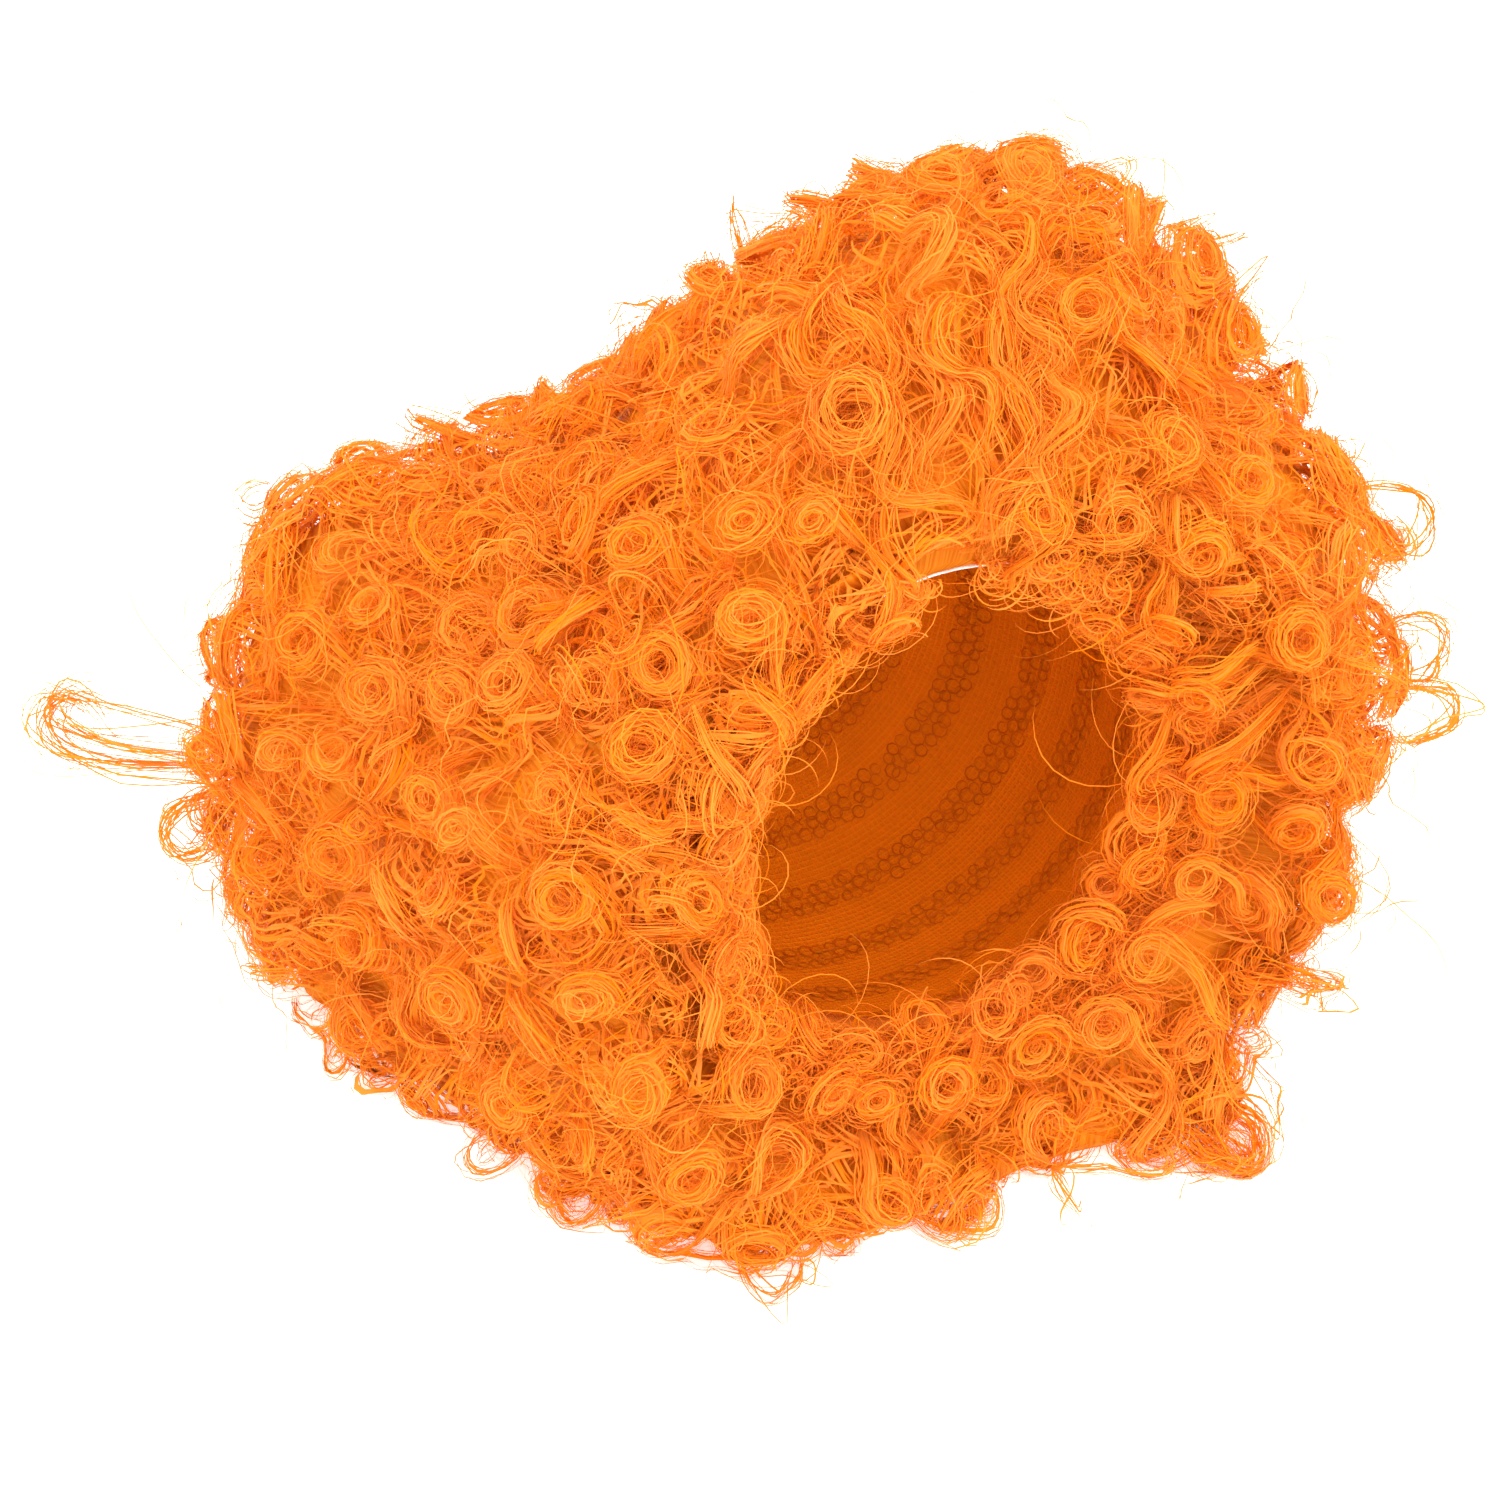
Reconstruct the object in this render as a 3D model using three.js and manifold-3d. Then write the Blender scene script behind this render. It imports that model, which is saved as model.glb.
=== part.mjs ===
// A curly party wig that lies on its back, with the opening for the head towards the front.
// Millimetres, +Z up, the floor at z = 0. The cap's own frame has x to the wearer's left, y towards
// the forehead and z out of the opening. Wefts, the sewn rows of hair, run round the cap in rings.
import * as THREE from 'three';
import { LoftGeometry } from 'three/addons/geometries/LoftGeometry.js';
import { mergeVertices } from 'three/addons/utils/BufferGeometryUtils.js';
import Module from 'manifold-3d';

const wasm = await Module();
wasm.setup();

const { clamp, degToRad, euclideanModulo, smoothstep } = THREE.MathUtils;
const TURN = 2 * Math.PI;

// How the wig lies
const LEAN = degToRad(10); // the opening looks up by this much
const RIM_HEIGHT = 120; // middle of the opening above the floor

// Clearance between pieces that touch
const SEAM_GAP = 0.4;

// Net cap, from its rim to the crown of the head
const CAP_WALL = 1.5;
const CAP_STEPS_ROUND = 20;
const CAP_SECTIONS = [
  { along: 0, halfWidth: 80, halfHeight: 82 }, // rim, drawn in by the elastic
  { along: -26, halfWidth: 87, halfHeight: 88 },
  { along: -58, halfWidth: 90, halfHeight: 91 }, // widest part of the head
  { along: -92, halfWidth: 83, halfHeight: 84 },
  { along: -120, halfWidth: 62, halfHeight: 63 },
  { along: -138, halfWidth: 34, halfHeight: 34 },
  { along: -145, halfWidth: 0, halfHeight: 0 }, // crown
];
const CAP_WIDEST = 2; // counted in sections from the rim
const CAP_CROWN = CAP_SECTIONS.length - 1;

// Elastic band inside the rim
const BAND_THICK = 1.2;
const BAND_BACK = -7;
const BAND_FRONT = 3;

// Outer reach of the hair: radius from the cap's axis at eight angles, for each place along the axis
const HAIR_ANGLES = {
  right: 0,
  upperRight: 55,
  top: 95,
  upperLeft: 135,
  left: 180,
  lowerLeft: 225,
  under: 270,
  lowerRight: 315,
};
const row = (along, right, upperRight, top, upperLeft, left, lowerLeft, under, lowerRight) => ({
  along, right, upperRight, top, upperLeft, left, lowerLeft, under, lowerRight,
});
const HAIR_SECTIONS = [
  row(17, 73, 80, 90, 82, 78, 76, 72, 70), // inner edge of the lip, over the rim
  row(42, 114, 110, 108, 104, 108, 118, 112, 132), // front of the lip
  row(18, 150, 146, 138, 128, 138, 158, 146, 156), // front edge
  row(-25, 164, 174, 158, 134, 154, 172, 160, 164),
  row(-75, 162, 184, 154, 124, 160, 178, 160, 166), // top lobe at its highest
  row(-125, 152, 170, 130, 116, 172, 184, 150, 158),
  row(-170, 124, 134, 94, 102, 176, 178, 130, 130), // left lobe at its widest
  row(-206, 76, 74, 62, 74, 134, 132, 84, 80),
  row(-224, 0, 0, 0, 0, 0, 0, 0, 0), // far end
];
const HAIR_END = HAIR_SECTIONS.length - 1;
const HAIR_PROBE = 0.02; // step of a slope, in sections and radians
const THROAT_FRONT = 6; // where the hair starts to lean in over the rim

// Locks: each is one open curl that rises out of the backing
const LOCK_SIDES = 5;
const LOCK_STEPS = 6;
const LOCK_REACH = degToRad(335); // how far round a curl goes
const LOCK_RADIUS = { least: 14, most: 18 }; // of the curl's middle line
const LOCK_THICK = { least: 7.5, most: 9.5 };
const LOCK_TILT = { least: degToRad(6), most: degToRad(38) };
const LOCK_SINK = 9; // middle line below the outer reach
const LOCK_ROOT = 13; // how deep a root goes below the curl
const LOCK_ROOT_PART = 0.3; // of a lock's length, in which the root comes up
const LOCK_RISE = 5; // of the tip above the start
const LOCK_SPACING = 57; // along a ring of locks
const LOCK_DRIFT = 0.3; // of the space between locks
const LOCK_FLOOR = -4; // locks lower than this are left out
const LOCK_DRAWS = 10; // chances kept for each ring of locks
const BACKING_SINK = 14; // backing below the outer reach

// Wefts from the rim to the crown. trackEnd counts cap sections and hairEnd hair sections, and each weft
// starts where the one before it ends. curls are the places of its rings of locks, in hair sections.
const WEFTS = [
  { name: 'weft_1_rim', trackEnd: 0.35, hairEnd: 1.5, curls: [0.8] },
  { name: 'weft_2', trackEnd: 1.2, hairEnd: 2.5, curls: [2] },
  { name: 'weft_3', trackEnd: 2.1, hairEnd: 3.5, curls: [3] },
  { name: 'weft_4', trackEnd: 3, hairEnd: 4.5, curls: [4] },
  { name: 'weft_5', trackEnd: 3.8, hairEnd: 5.5, curls: [5] },
  { name: 'weft_6', trackEnd: 4.6, hairEnd: 6.5, curls: [6] },
  { name: 'weft_7_crown', trackEnd: CAP_CROWN, hairEnd: HAIR_END, curls: [6.85, 7.45] },
];
const CAP_STATIONS = [0, ...WEFTS.map((weft) => weft.trackEnd)]; // the wefts' tracks on the cap

// Seams between wefts, and the room that a weft is cut to
const SEAM_STEPS = 12;
const SEAM_TURN = 0.25; // of a step, so that no edges run along those of the cap
const SEAM_INNER = 0.85; // a seam starts at this part of the cap's radius
const SEAM_OUTER = 290; // and ends at this radius
const ROOM_FRONT = 150; // a weft's room ends here in front of the lip
const ROOM_THROAT = 40; // and leaves this radius of the opening free
const ROOM_END = -420; // the last weft's room ends here behind the crown
const FLOOR_SIZE = 1000;

// One stray lock stands out on the left and ends in a loop
const STRAY_WEFT = 'weft_6';
const STRAY_THICK = 5.5;
const STRAY_STEPS = 14;
const STRAY_PATH = [
  { x: -138, y: -34, z: -160 },
  { x: -168, y: -38, z: -178 },
  { x: -190, y: -34, z: -192 },
  { x: -204, y: -20, z: -202 },
  { x: -196, y: -8, z: -200 },
  { x: -184, y: -16, z: -192 },
];

const HAIR = new THREE.MeshStandardMaterial({ color: 0xf97a18, roughness: 0.7, metalness: 0 });
const NET = new THREE.MeshStandardMaterial({ color: 0xc65a0a, roughness: 0.9, metalness: 0 });
const ELASTIC = new THREE.MeshStandardMaterial({ color: 0xf7ddd0, roughness: 0.85, metalness: 0 });

// A repeatable number from 0 to 1 for item i of kind k
function chance(k, i) {
  const wave = Math.sin(k * 12.9898 + i * 78.233) * 43758.5453;
  return wave - Math.floor(wave);
}

const between = (range, part) => range.least + (range.most - range.least) * part;

// Smooth curve through four values, from the second to the third
function through(a, b, c, d, t) {
  return b + 0.5 * t * (c - a + t * (2 * a - 5 * b + 4 * c - d + t * (3 * (b - c) + d - a)));
}

// Value of one column of a section table at a place counted in sections
function column(sections, name, place) {
  const last = sections.length - 1;
  const i = Math.min(Math.floor(place), last - 1);
  const value = (k) => sections[clamp(k, 0, last)][name];
  return through(value(i - 1), value(i), value(i + 1), value(i + 2), place - i);
}

// Point of the cap's outside, moved out by offset
function capPoint(place, angle, offset) {
  const grow = 1 + offset / CAP_SECTIONS[CAP_WIDEST].halfWidth;
  const back = offset * clamp((place - CAP_WIDEST) / (CAP_CROWN - CAP_WIDEST), 0, 1);
  return new THREE.Vector3(
    column(CAP_SECTIONS, 'halfWidth', place) * grow * Math.cos(angle),
    column(CAP_SECTIONS, 'halfHeight', place) * grow * Math.sin(angle),
    column(CAP_SECTIONS, 'along', place) - back,
  );
}

// Point of the hair's outer reach
function hairReach(place, angle) {
  const names = Object.keys(HAIR_ANGLES);
  const starts = Object.values(HAIR_ANGLES).map(degToRad);
  const turned = euclideanModulo(angle, TURN);
  const k = starts.findLastIndex((start) => start <= turned);
  const next = k + 1 < starts.length ? starts[k + 1] : TURN;
  const near = (step) => names[euclideanModulo(k + step, names.length)];
  const radii = [-1, 0, 1, 2].map((step) => column(HAIR_SECTIONS, near(step), place));
  const radius = through(...radii, (turned - starts[k]) / (next - starts[k]));
  const along = column(HAIR_SECTIONS, 'along', place);
  return new THREE.Vector3(radius * Math.cos(angle), radius * Math.sin(angle), along);
}

// Directions on the hair's outer reach: out of it, round the cap and away from the opening
function hairAxes(place, angle) {
  const inside = clamp(place, HAIR_PROBE, HAIR_END - 2 * HAIR_PROBE);
  const slope = (a, b) => b.sub(a).normalize();
  const round = slope(hairReach(inside, angle - HAIR_PROBE), hairReach(inside, angle + HAIR_PROBE));
  const away = slope(hairReach(inside - HAIR_PROBE, angle), hairReach(inside + HAIR_PROBE, angle));
  const out = new THREE.Vector3().crossVectors(away, round).normalize();
  return { out, round, away };
}

// Point below the hair's outer reach by depth
function hairPoint(place, angle, depth) {
  if (place >= HAIR_END) {
    return hairReach(HAIR_END, 0).add(new THREE.Vector3(0, 0, depth));
  }
  return hairReach(place, angle).addScaledVector(hairAxes(place, angle).out, -depth);
}

// One ring of points round the cap's axis, which starts at a part of a step
function ring(pointAt, steps = CAP_STEPS_ROUND, start = 0) {
  return Array.from({ length: steps }, (_, i) => pointAt(((i + start) / steps) * TURN));
}

// Closed solid from a lofted surface, whose ends may run out to points
function solidOf(geometry) {
  const bare = new THREE.BufferGeometry();
  bare.setAttribute('position', geometry.getAttribute('position'));
  bare.setIndex(geometry.index);
  const merged = mergeVertices(bare);
  const corners = merged.index.array;
  const triangles = [];
  for (let i = 0; i < corners.length; i += 3) {
    const [a, b, c] = corners.slice(i, i + 3);
    if (a !== b && b !== c && c !== a) triangles.push(a, b, c);
  }
  const mesh = new wasm.Mesh({
    numProp: 3,
    vertProperties: new Float32Array(merged.attributes.position.array),
    triVerts: new Uint32Array(triangles),
  });
  return new wasm.Manifold(mesh);
}

const loft = (sections) => solidOf(new LoftGeometry(sections));

function namedMesh(name, solid, material) {
  const { vertProperties, triVerts } = solid.getMesh();
  const geometry = new THREE.BufferGeometry();
  geometry.setAttribute('position', new THREE.BufferAttribute(new Float32Array(vertProperties), 3));
  geometry.setIndex(new THREE.BufferAttribute(new Uint32Array(triVerts), 1));
  geometry.computeVertexNormals();
  const mesh = new THREE.Mesh(geometry, material);
  mesh.name = name;
  return mesh;
}

// Net cap: out over the crown from the far end to the rim, and back on the inside
function capSolid() {
  const outside = CAP_STATIONS.map((place) => ring((angle) => capPoint(place, angle, 0)));
  const inside = CAP_STATIONS.map((place) => ring((angle) => capPoint(place, angle, -CAP_WALL)));
  return loft([...outside.reverse(), ...inside]);
}

function bandSolid() {
  const rim = (along, offset) => ring((angle) => capPoint(0, angle, offset).setZ(along));
  const outer = -CAP_WALL - SEAM_GAP;
  const inner = outer - BAND_THICK;
  const back = rim(BAND_BACK, inner);
  return loft([back, rim(BAND_BACK, outer), rim(BAND_FRONT, outer), rim(BAND_FRONT, inner), back]);
}

// All the hair below the curls: over the outside to the lip, into the throat and back along the cap
function backingSolid() {
  const outside = HAIR_SECTIONS.map((_, place) => ring((angle) => hairPoint(place, angle, BACKING_SINK)));
  const lip = ring((angle) => hairPoint(0, angle, 0));
  const throat = ring((angle) => capPoint(0, angle, SEAM_GAP).setZ(THROAT_FRONT));
  const onCap = CAP_STATIONS.map((place) => ring((angle) => capPoint(place, angle, SEAM_GAP)));
  return loft([...outside.reverse(), lip, throat, ...onCap]);
}

// One open curl on the outer reach of the hair
function lockSolid(place, angle, kind, item) {
  const draw = (k) => chance(kind * LOCK_DRAWS + k, item);
  const { out, round, away } = hairAxes(place, angle);
  const radius = between(LOCK_RADIUS, draw(1));
  const thick = between(LOCK_THICK, draw(2));
  const tilt = between(LOCK_TILT, draw(3));
  const heading = draw(4) * TURN;
  const start = draw(5) * TURN;
  const lean = new THREE.Vector3()
    .addScaledVector(round, Math.cos(heading))
    .addScaledVector(away, Math.sin(heading));
  const axis = out.clone().multiplyScalar(Math.cos(tilt)).addScaledVector(lean, Math.sin(tilt));
  const first = new THREE.Vector3().crossVectors(axis, round).normalize();
  const second = new THREE.Vector3().crossVectors(axis, first);
  const centre = hairReach(place, angle).addScaledVector(out, -LOCK_SINK);
  const sections = [];
  for (let step = 0; step <= LOCK_STEPS; step += 1) {
    const part = step / LOCK_STEPS;
    const turned = start + LOCK_REACH * part;
    const outward = first.clone().multiplyScalar(Math.cos(turned)).addScaledVector(second, Math.sin(turned));
    const lift = LOCK_RISE * part - LOCK_ROOT * (1 - smoothstep(part, 0, LOCK_ROOT_PART));
    const width = thick * Math.sqrt(Math.sin(Math.PI * part));
    const middle = centre.clone().addScaledVector(outward, radius).addScaledVector(axis, lift);
    const section = [];
    for (let side = 0; side < LOCK_SIDES; side += 1) {
      const face = (side / LOCK_SIDES) * TURN;
      section.push(
        middle.clone()
          .addScaledVector(axis, width * Math.cos(face))
          .addScaledVector(outward, width * Math.sin(face)),
      );
    }
    sections.push(section);
  }
  return loft(sections);
}

function strayLock() {
  const curve = new THREE.CatmullRomCurve3(STRAY_PATH.map(({ x, y, z }) => new THREE.Vector3(x, y, z)));
  const frames = curve.computeFrenetFrames(STRAY_STEPS);
  const sections = [];
  for (let step = 0; step <= STRAY_STEPS; step += 1) {
    const part = step / STRAY_STEPS;
    const width = STRAY_THICK * Math.sqrt(Math.sin(Math.PI * part)) * (1 - part / 2);
    const section = [];
    for (let side = 0; side < LOCK_SIDES; side += 1) {
      const face = (side / LOCK_SIDES) * TURN;
      section.push(
        curve.getPointAt(part)
          .addScaledVector(frames.normals[step], width * Math.cos(face))
          .addScaledVector(frames.binormals[step], width * Math.sin(face)),
      );
    }
    sections.push(section);
  }
  return loft(sections);
}

// Ring of the cone on which one weft meets the next, at a part of the cap's radius
function seamRing(edge, shift, nearness) {
  const reach = hairReach(edge.hairEnd, 0);
  const track = capPoint(edge.trackEnd, 0, 0);
  const slope = (reach.z - track.z) / (reach.x - track.x);
  const pointAt = (angle) => {
    const point = capPoint(edge.trackEnd, angle, 0);
    const along = point.z + slope * track.x * (nearness - 1) + shift;
    return new THREE.Vector3(point.x * nearness, point.y * nearness, along);
  };
  return ring(pointAt, SEAM_STEPS, SEAM_TURN);
}

function seam(edge, shift) {
  const wide = SEAM_OUTER / capPoint(edge.trackEnd, 0, 0).x;
  return { near: seamRing(edge, shift, SEAM_INNER), far: seamRing(edge, shift, wide) };
}

function levelRing(radius, along) {
  const pointAt = (angle) => new THREE.Vector3(radius * Math.cos(angle), radius * Math.sin(angle), along);
  return ring(pointAt, SEAM_STEPS, SEAM_TURN);
}

// Room that one weft may fill, from its front seam to its back seam
function weftRoom(before, weft) {
  const back = weft.hairEnd < HAIR_END ? seam(weft, SEAM_GAP / 2) : null;
  const front = before ? seam(before, -SEAM_GAP / 2) : null;
  if (!front) {
    const outer = levelRing(SEAM_OUTER, ROOM_FRONT);
    const inner = levelRing(ROOM_THROAT, ROOM_FRONT);
    return loft([back.near, back.far, outer, inner, back.near]);
  }
  if (!back) {
    const end = [levelRing(0, ROOM_END), levelRing(SEAM_OUTER, ROOM_END)];
    return loft([...end, front.far, front.near, levelRing(0, front.near[0].z)]);
  }
  return loft([back.near, back.far, front.far, front.near, back.near]);
}

const biggest = (solid) =>
  solid.decompose().reduce((best, piece) => (piece.volume() > best.volume() ? piece : best));

// The cap's frame stands the wig as it lies
const wig = new THREE.Group();
wig.rotation.x = Math.PI / 2 - LEAN;
wig.position.z = RIM_HEIGHT;
wig.updateMatrix();

function floorSolid() {
  const slab = new THREE.BoxGeometry(FLOOR_SIZE, FLOOR_SIZE, FLOOR_SIZE).translate(0, 0, -FLOOR_SIZE / 2);
  return solidOf(slab.applyMatrix4(wig.matrix.clone().invert()));
}

// Angles of a ring of locks, one spacing apart along the ring
function lockAngles(place, kind) {
  const step = (angle) => LOCK_SPACING / Math.hypot(hairReach(place, angle).x, hairReach(place, angle).y);
  const first = chance(kind, 0) * step(0);
  const angles = [];
  for (let angle = first; angle < first + TURN - step(first) / 2; angle += step(angle)) {
    const drift = (chance(kind, angles.length + 1) - 0.5) * LOCK_DRIFT;
    angles.push(angle + drift * step(angle));
  }
  return angles;
}

function weftSolid(index, backing, floor) {
  const weft = WEFTS[index];
  const locks = weft.curls.flatMap((place, line) => {
    const kind = index * 2 + line + 1;
    const angles = lockAngles(place, kind);
    const clear = (angle) => hairReach(place, angle).applyMatrix4(wig.matrix).z > LOCK_FLOOR;
    return angles.filter(clear).map((angle, i) => lockSolid(place, angle, kind, i));
  });
  if (weft.name === STRAY_WEFT) locks.push(strayLock());
  const hair = locks.reduce((joined, lock) => joined.add(lock), backing);
  return biggest(hair.intersect(weftRoom(WEFTS[index - 1], weft)).subtract(floor));
}

const backing = backingSolid();
const floor = floorSolid();
wig.add(namedMesh('cap', capSolid(), NET));
wig.add(namedMesh('rim_band', bandSolid(), ELASTIC));
WEFTS.forEach((weft, index) => wig.add(namedMesh(weft.name, weftSolid(index, backing, floor), HAIR)));

// The finished part stands over the middle of its own floor area
const part = new THREE.Group();
part.add(wig);
const middle = new THREE.Box3().setFromObject(part, true).getCenter(new THREE.Vector3());
part.position.set(-middle.x, -middle.y, 0);

export default part;
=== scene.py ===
# Looks of a curly party wig that lies on its back, with the opening for the head towards the front.
# The cap's own frame is in millimetres, with x to the wearer's left, y towards the forehead and z out of
# the opening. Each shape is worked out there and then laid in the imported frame, in metres.
import math

import bpy
import numpy as np
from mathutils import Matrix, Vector


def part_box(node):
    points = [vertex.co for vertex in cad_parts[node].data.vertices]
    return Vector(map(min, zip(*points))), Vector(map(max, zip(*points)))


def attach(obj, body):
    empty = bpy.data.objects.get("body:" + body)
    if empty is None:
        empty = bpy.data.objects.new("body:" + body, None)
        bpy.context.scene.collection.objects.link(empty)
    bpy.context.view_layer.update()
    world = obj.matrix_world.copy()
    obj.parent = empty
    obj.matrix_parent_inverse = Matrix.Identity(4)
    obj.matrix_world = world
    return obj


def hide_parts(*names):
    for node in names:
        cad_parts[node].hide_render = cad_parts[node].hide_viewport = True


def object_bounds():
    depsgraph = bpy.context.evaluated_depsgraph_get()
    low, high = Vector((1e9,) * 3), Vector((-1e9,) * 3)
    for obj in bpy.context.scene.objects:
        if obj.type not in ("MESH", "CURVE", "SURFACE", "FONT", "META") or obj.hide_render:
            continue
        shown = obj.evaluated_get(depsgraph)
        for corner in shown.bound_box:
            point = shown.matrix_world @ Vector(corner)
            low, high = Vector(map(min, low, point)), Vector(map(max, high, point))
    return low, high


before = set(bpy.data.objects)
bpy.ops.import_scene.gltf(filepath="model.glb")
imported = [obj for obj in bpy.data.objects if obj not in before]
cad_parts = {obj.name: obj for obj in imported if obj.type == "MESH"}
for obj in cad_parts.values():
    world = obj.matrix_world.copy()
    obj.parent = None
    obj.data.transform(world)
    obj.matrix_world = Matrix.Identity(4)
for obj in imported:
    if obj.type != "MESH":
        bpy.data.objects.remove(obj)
cad_low, cad_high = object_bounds()

MM = 0.001
FLOOR_GAP = 0.4
SOFT_SHARE = 0.03  # soft hair stands proud of the solids by at most this share of each side
SOFT_MORE = 9.0  # and by so much more
TURN = 2 * math.pi
SEED = 11
AXIS = np.array((0, 0, 1.0))  # out of the opening
TEXTURE = "OFBake"  # name of the texture places
WHITE = (1, 1, 1, 1)

# How the wig lies
LEAN = math.radians(10)
BAND_MIDDLE = -2.0  # middle of the elastic along the cap's axis

# Net cap, from its rim to the crown: along the axis, half width, half height
CAP_ROWS = np.array([
    (0, 80, 82),
    (-26, 87, 88),
    (-58, 90, 91),
    (-92, 83, 84),
    (-120, 62, 63),
    (-138, 34, 34),
    (-145, 0, 0),
], float)
CAP_WIDEST = 2
CAP_CROWN = len(CAP_ROWS) - 1
CAP_WALL = 1.5
CAP_GAP = 0.4
CAP_AROUND = 96
CAP_RINGS = 28
CAP_RADIUS = 88.0  # its usual radius
CAP_LONG = 190.0  # from the rim to the crown, measured along the cap
CAP_ROW_MM = 31.0  # one row of the table, measured in the same way

# Elastic band inside the rim
BAND_THICK = 1.2
BAND_BACK = -7.0
BAND_FRONT = 3.0
BAND_AROUND = 240
TAPE_ROUND = 0.4  # of its front edges
TAPE_SHADE = 2.5  # how far behind its front edge the painted shade begins
TAPE_RIPPLE = 0.25
TAPE_RIPPLES = 60
# Round the rest of the rim the tape is painted orange, as shade and light thrown by the hair
BARE_MIDDLE = math.radians(100)  # where the tape is bare and white
BARE_HALF = math.radians(62)
BARE_FADE = math.radians(25)

# Stitches: loops in lacy rows along each sewn track, which are counted in rows of the cap
TRACK_FIRST = 0.55
TRACK_APART = 0.75
TRACKS = 6
TRACK_ROWS = 3
ROW_APART = 3.2
LOOP_RADIUS = 2.3
LOOP_STEPS = 8
LOOP_APART = 4.6
LOOP_SIZE = (0.75, 1.15)
LOOP_ASIDE = (-0.25, 0.25)
LOOP_SLIP = (-0.7, 0.7)
LOOP_INSIDE = (0.3, 0.9)  # in front of the net
THREAD_WIDTH = 0.7
THREAD_TONE = (0.05, 0.95)
THREAD_ROLL = (-0.5, 0.5)

# Outer reach of the hair: along the axis, then the radius at each of these angles round it
HAIR_ANGLES = np.radians([0, 55, 95, 135, 180, 225, 270, 315])
HAIR_ROWS = np.array([
    (17, 73, 80, 90, 82, 78, 76, 72, 70),  # inner edge of the lip, over the rim
    (42, 114, 110, 108, 104, 108, 118, 112, 132),  # front of the lip
    (18, 150, 146, 138, 128, 138, 158, 146, 156),  # front edge
    (-25, 164, 174, 158, 134, 154, 172, 160, 164),
    (-75, 162, 184, 154, 124, 160, 178, 160, 166),  # top lobe at its highest
    (-125, 152, 170, 130, 116, 172, 184, 150, 158),
    (-170, 124, 134, 94, 102, 176, 178, 130, 130),  # left lobe at its widest
    (-206, 76, 74, 62, 74, 134, 132, 84, 80),
    (-224, 0, 0, 0, 0, 0, 0, 0, 0),  # far end
], float)
HAIR_START = 0.1
HAIR_END = len(HAIR_ROWS) - 1
UNDER_END = HAIR_END - 0.25  # of the undercoat
SINGLE_END = HAIR_END - 0.4  # of single hairs
PROBE = 0.02  # step of a slope, in rows and radians
BEND_PROBE = 0.25  # step of a curvature
BEND_LIMITS = (-0.01, 0.04)  # least and greatest curvature that locks follow
WALK_RANGE = (0.05, HAIR_END - 0.15)  # places that a line over the reach may run to
WALK_PROBED = (0.1, HAIR_END - 0.1)
WALK_LEAST = 0.2  # least girth that it counts with, so that it doesn't spin at the far end
SCATTER_TRIES = 12000
SCATTER_SPARE = 4  # places drawn for each one tried

# Sewn rows of hair from the rim to the crown: piece, where it ends on the cap and where on the reach
WEFTS = [
    ("weft_1_rim", 0.35, 1.5),
    ("weft_2", 1.2, 2.5),
    ("weft_3", 2.1, 3.5),
    ("weft_4", 3.0, 4.5),
    ("weft_5", 3.8, 5.5),
    ("weft_6", 4.6, 6.5),
    ("weft_7_crown", CAP_CROWN, HAIR_END),
]

# Curled locks. Each pair is a lowest and a highest value, in millimetres, turns, radians or shares, and a
# lean is in degrees from straight out.
LOCK_SPACING = 25.0
LOCK_RANGE = (0.55, HAIR_END - 0.2)  # of places on the reach
LOCK_STEPS = 19
LOCK_BANDS = 4  # flat bunches of strands in the body of a lock
LOCK_STRANDS = 36  # fine strands over it
LOCK_FLOOR = 0.0  # locks rooted lower than this are left out
BAND_WIDTH = (0.9, 1.6)
STRAND_WIDTH = (0.26, 0.48)
HAIR_WIDTH = (0.22, 0.36)  # of single hairs
LOOSE_WIDE = 1.2  # loose locks stand alone, so their strands are drawn this much wider
LOOSE_DRIFT = 2.4  # and drift apart this much more
LOOSE_STEPS = 24
STRAND_ROLL = (-1.9, 1.9)  # round the lock
BAND_ROLL = (-1.4, 1.4)
STRAND_DEPTH = (0.3, 1.1)  # from the lock's middle to its outside
STRAND_CROWD = 0.7  # below 1, more strands lie on the outside
BAND_DEPTH = (0.3, 0.6)
STRAY_SHARE = 0.14  # strands that stray, and by how much
STRAY = 3.0
LOOSE_SHARE = 0.45  # these and the ones that lie loose
LOOSE = 1.3
NEAT = 0.6
BAND_DRIFT = 0.4
DRIFT_WAVES = (1.0, 2.3)
STRAND_ENDS = (0.76, 1.0)
STRAND_OFFSET = (-0.45, 0.45)  # of the steps along a strand
LOCK_TONE = (0.1, 0.9)  # over the width of the texture
TONE_DIFFER = 0.08
TONE_RANGE = (0.02, 0.98)
STEM_ASIDE = (-0.8, 0.8)
RING_STEM = 0.28  # part of a lock that is its stem
DROP_STEM = 0.2
RING_ROOT = 12.0  # how deep a stem is rooted
ROOT_CURVE = 1.5  # how late it bends down to its root
ROOT_TAPER = 0.1
TIP_TAPER = 0.25
THINNEST = 0.15
# Along a strand, its v runs from painted shade at the root to its own tone at the tip
STRAND_V = (0.6, 0.39)  # texture place at the root, and how far it rises
STRAND_ROOT = 0.4  # over this part of a strand

# Curls all over the reach: open rings, long drops and small rings on their side
CURL_DEPTH = (2, 7)
RING_SHARE = 0.64
RING = ((0, 40), (10.5, 18), (1.2, 1.8))  # lean, outer radius, turns
DROP_SHARE = 0.2
DROP = ((0, 35), (9, 13), (26, 38))  # lean, width, length
SIDE_LEAN = (35, 65)
SIDE_OUTER = (9, 13)
SIDE_TURNS = 1.5
HIDDEN_LESS = 8  # strands that a lock at the back or on the underside has less
BACK_START = 5.8
UNDERSIDE = -0.4
SWELL_MM = 23.0
SWELL_RISE = 3.0

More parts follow.
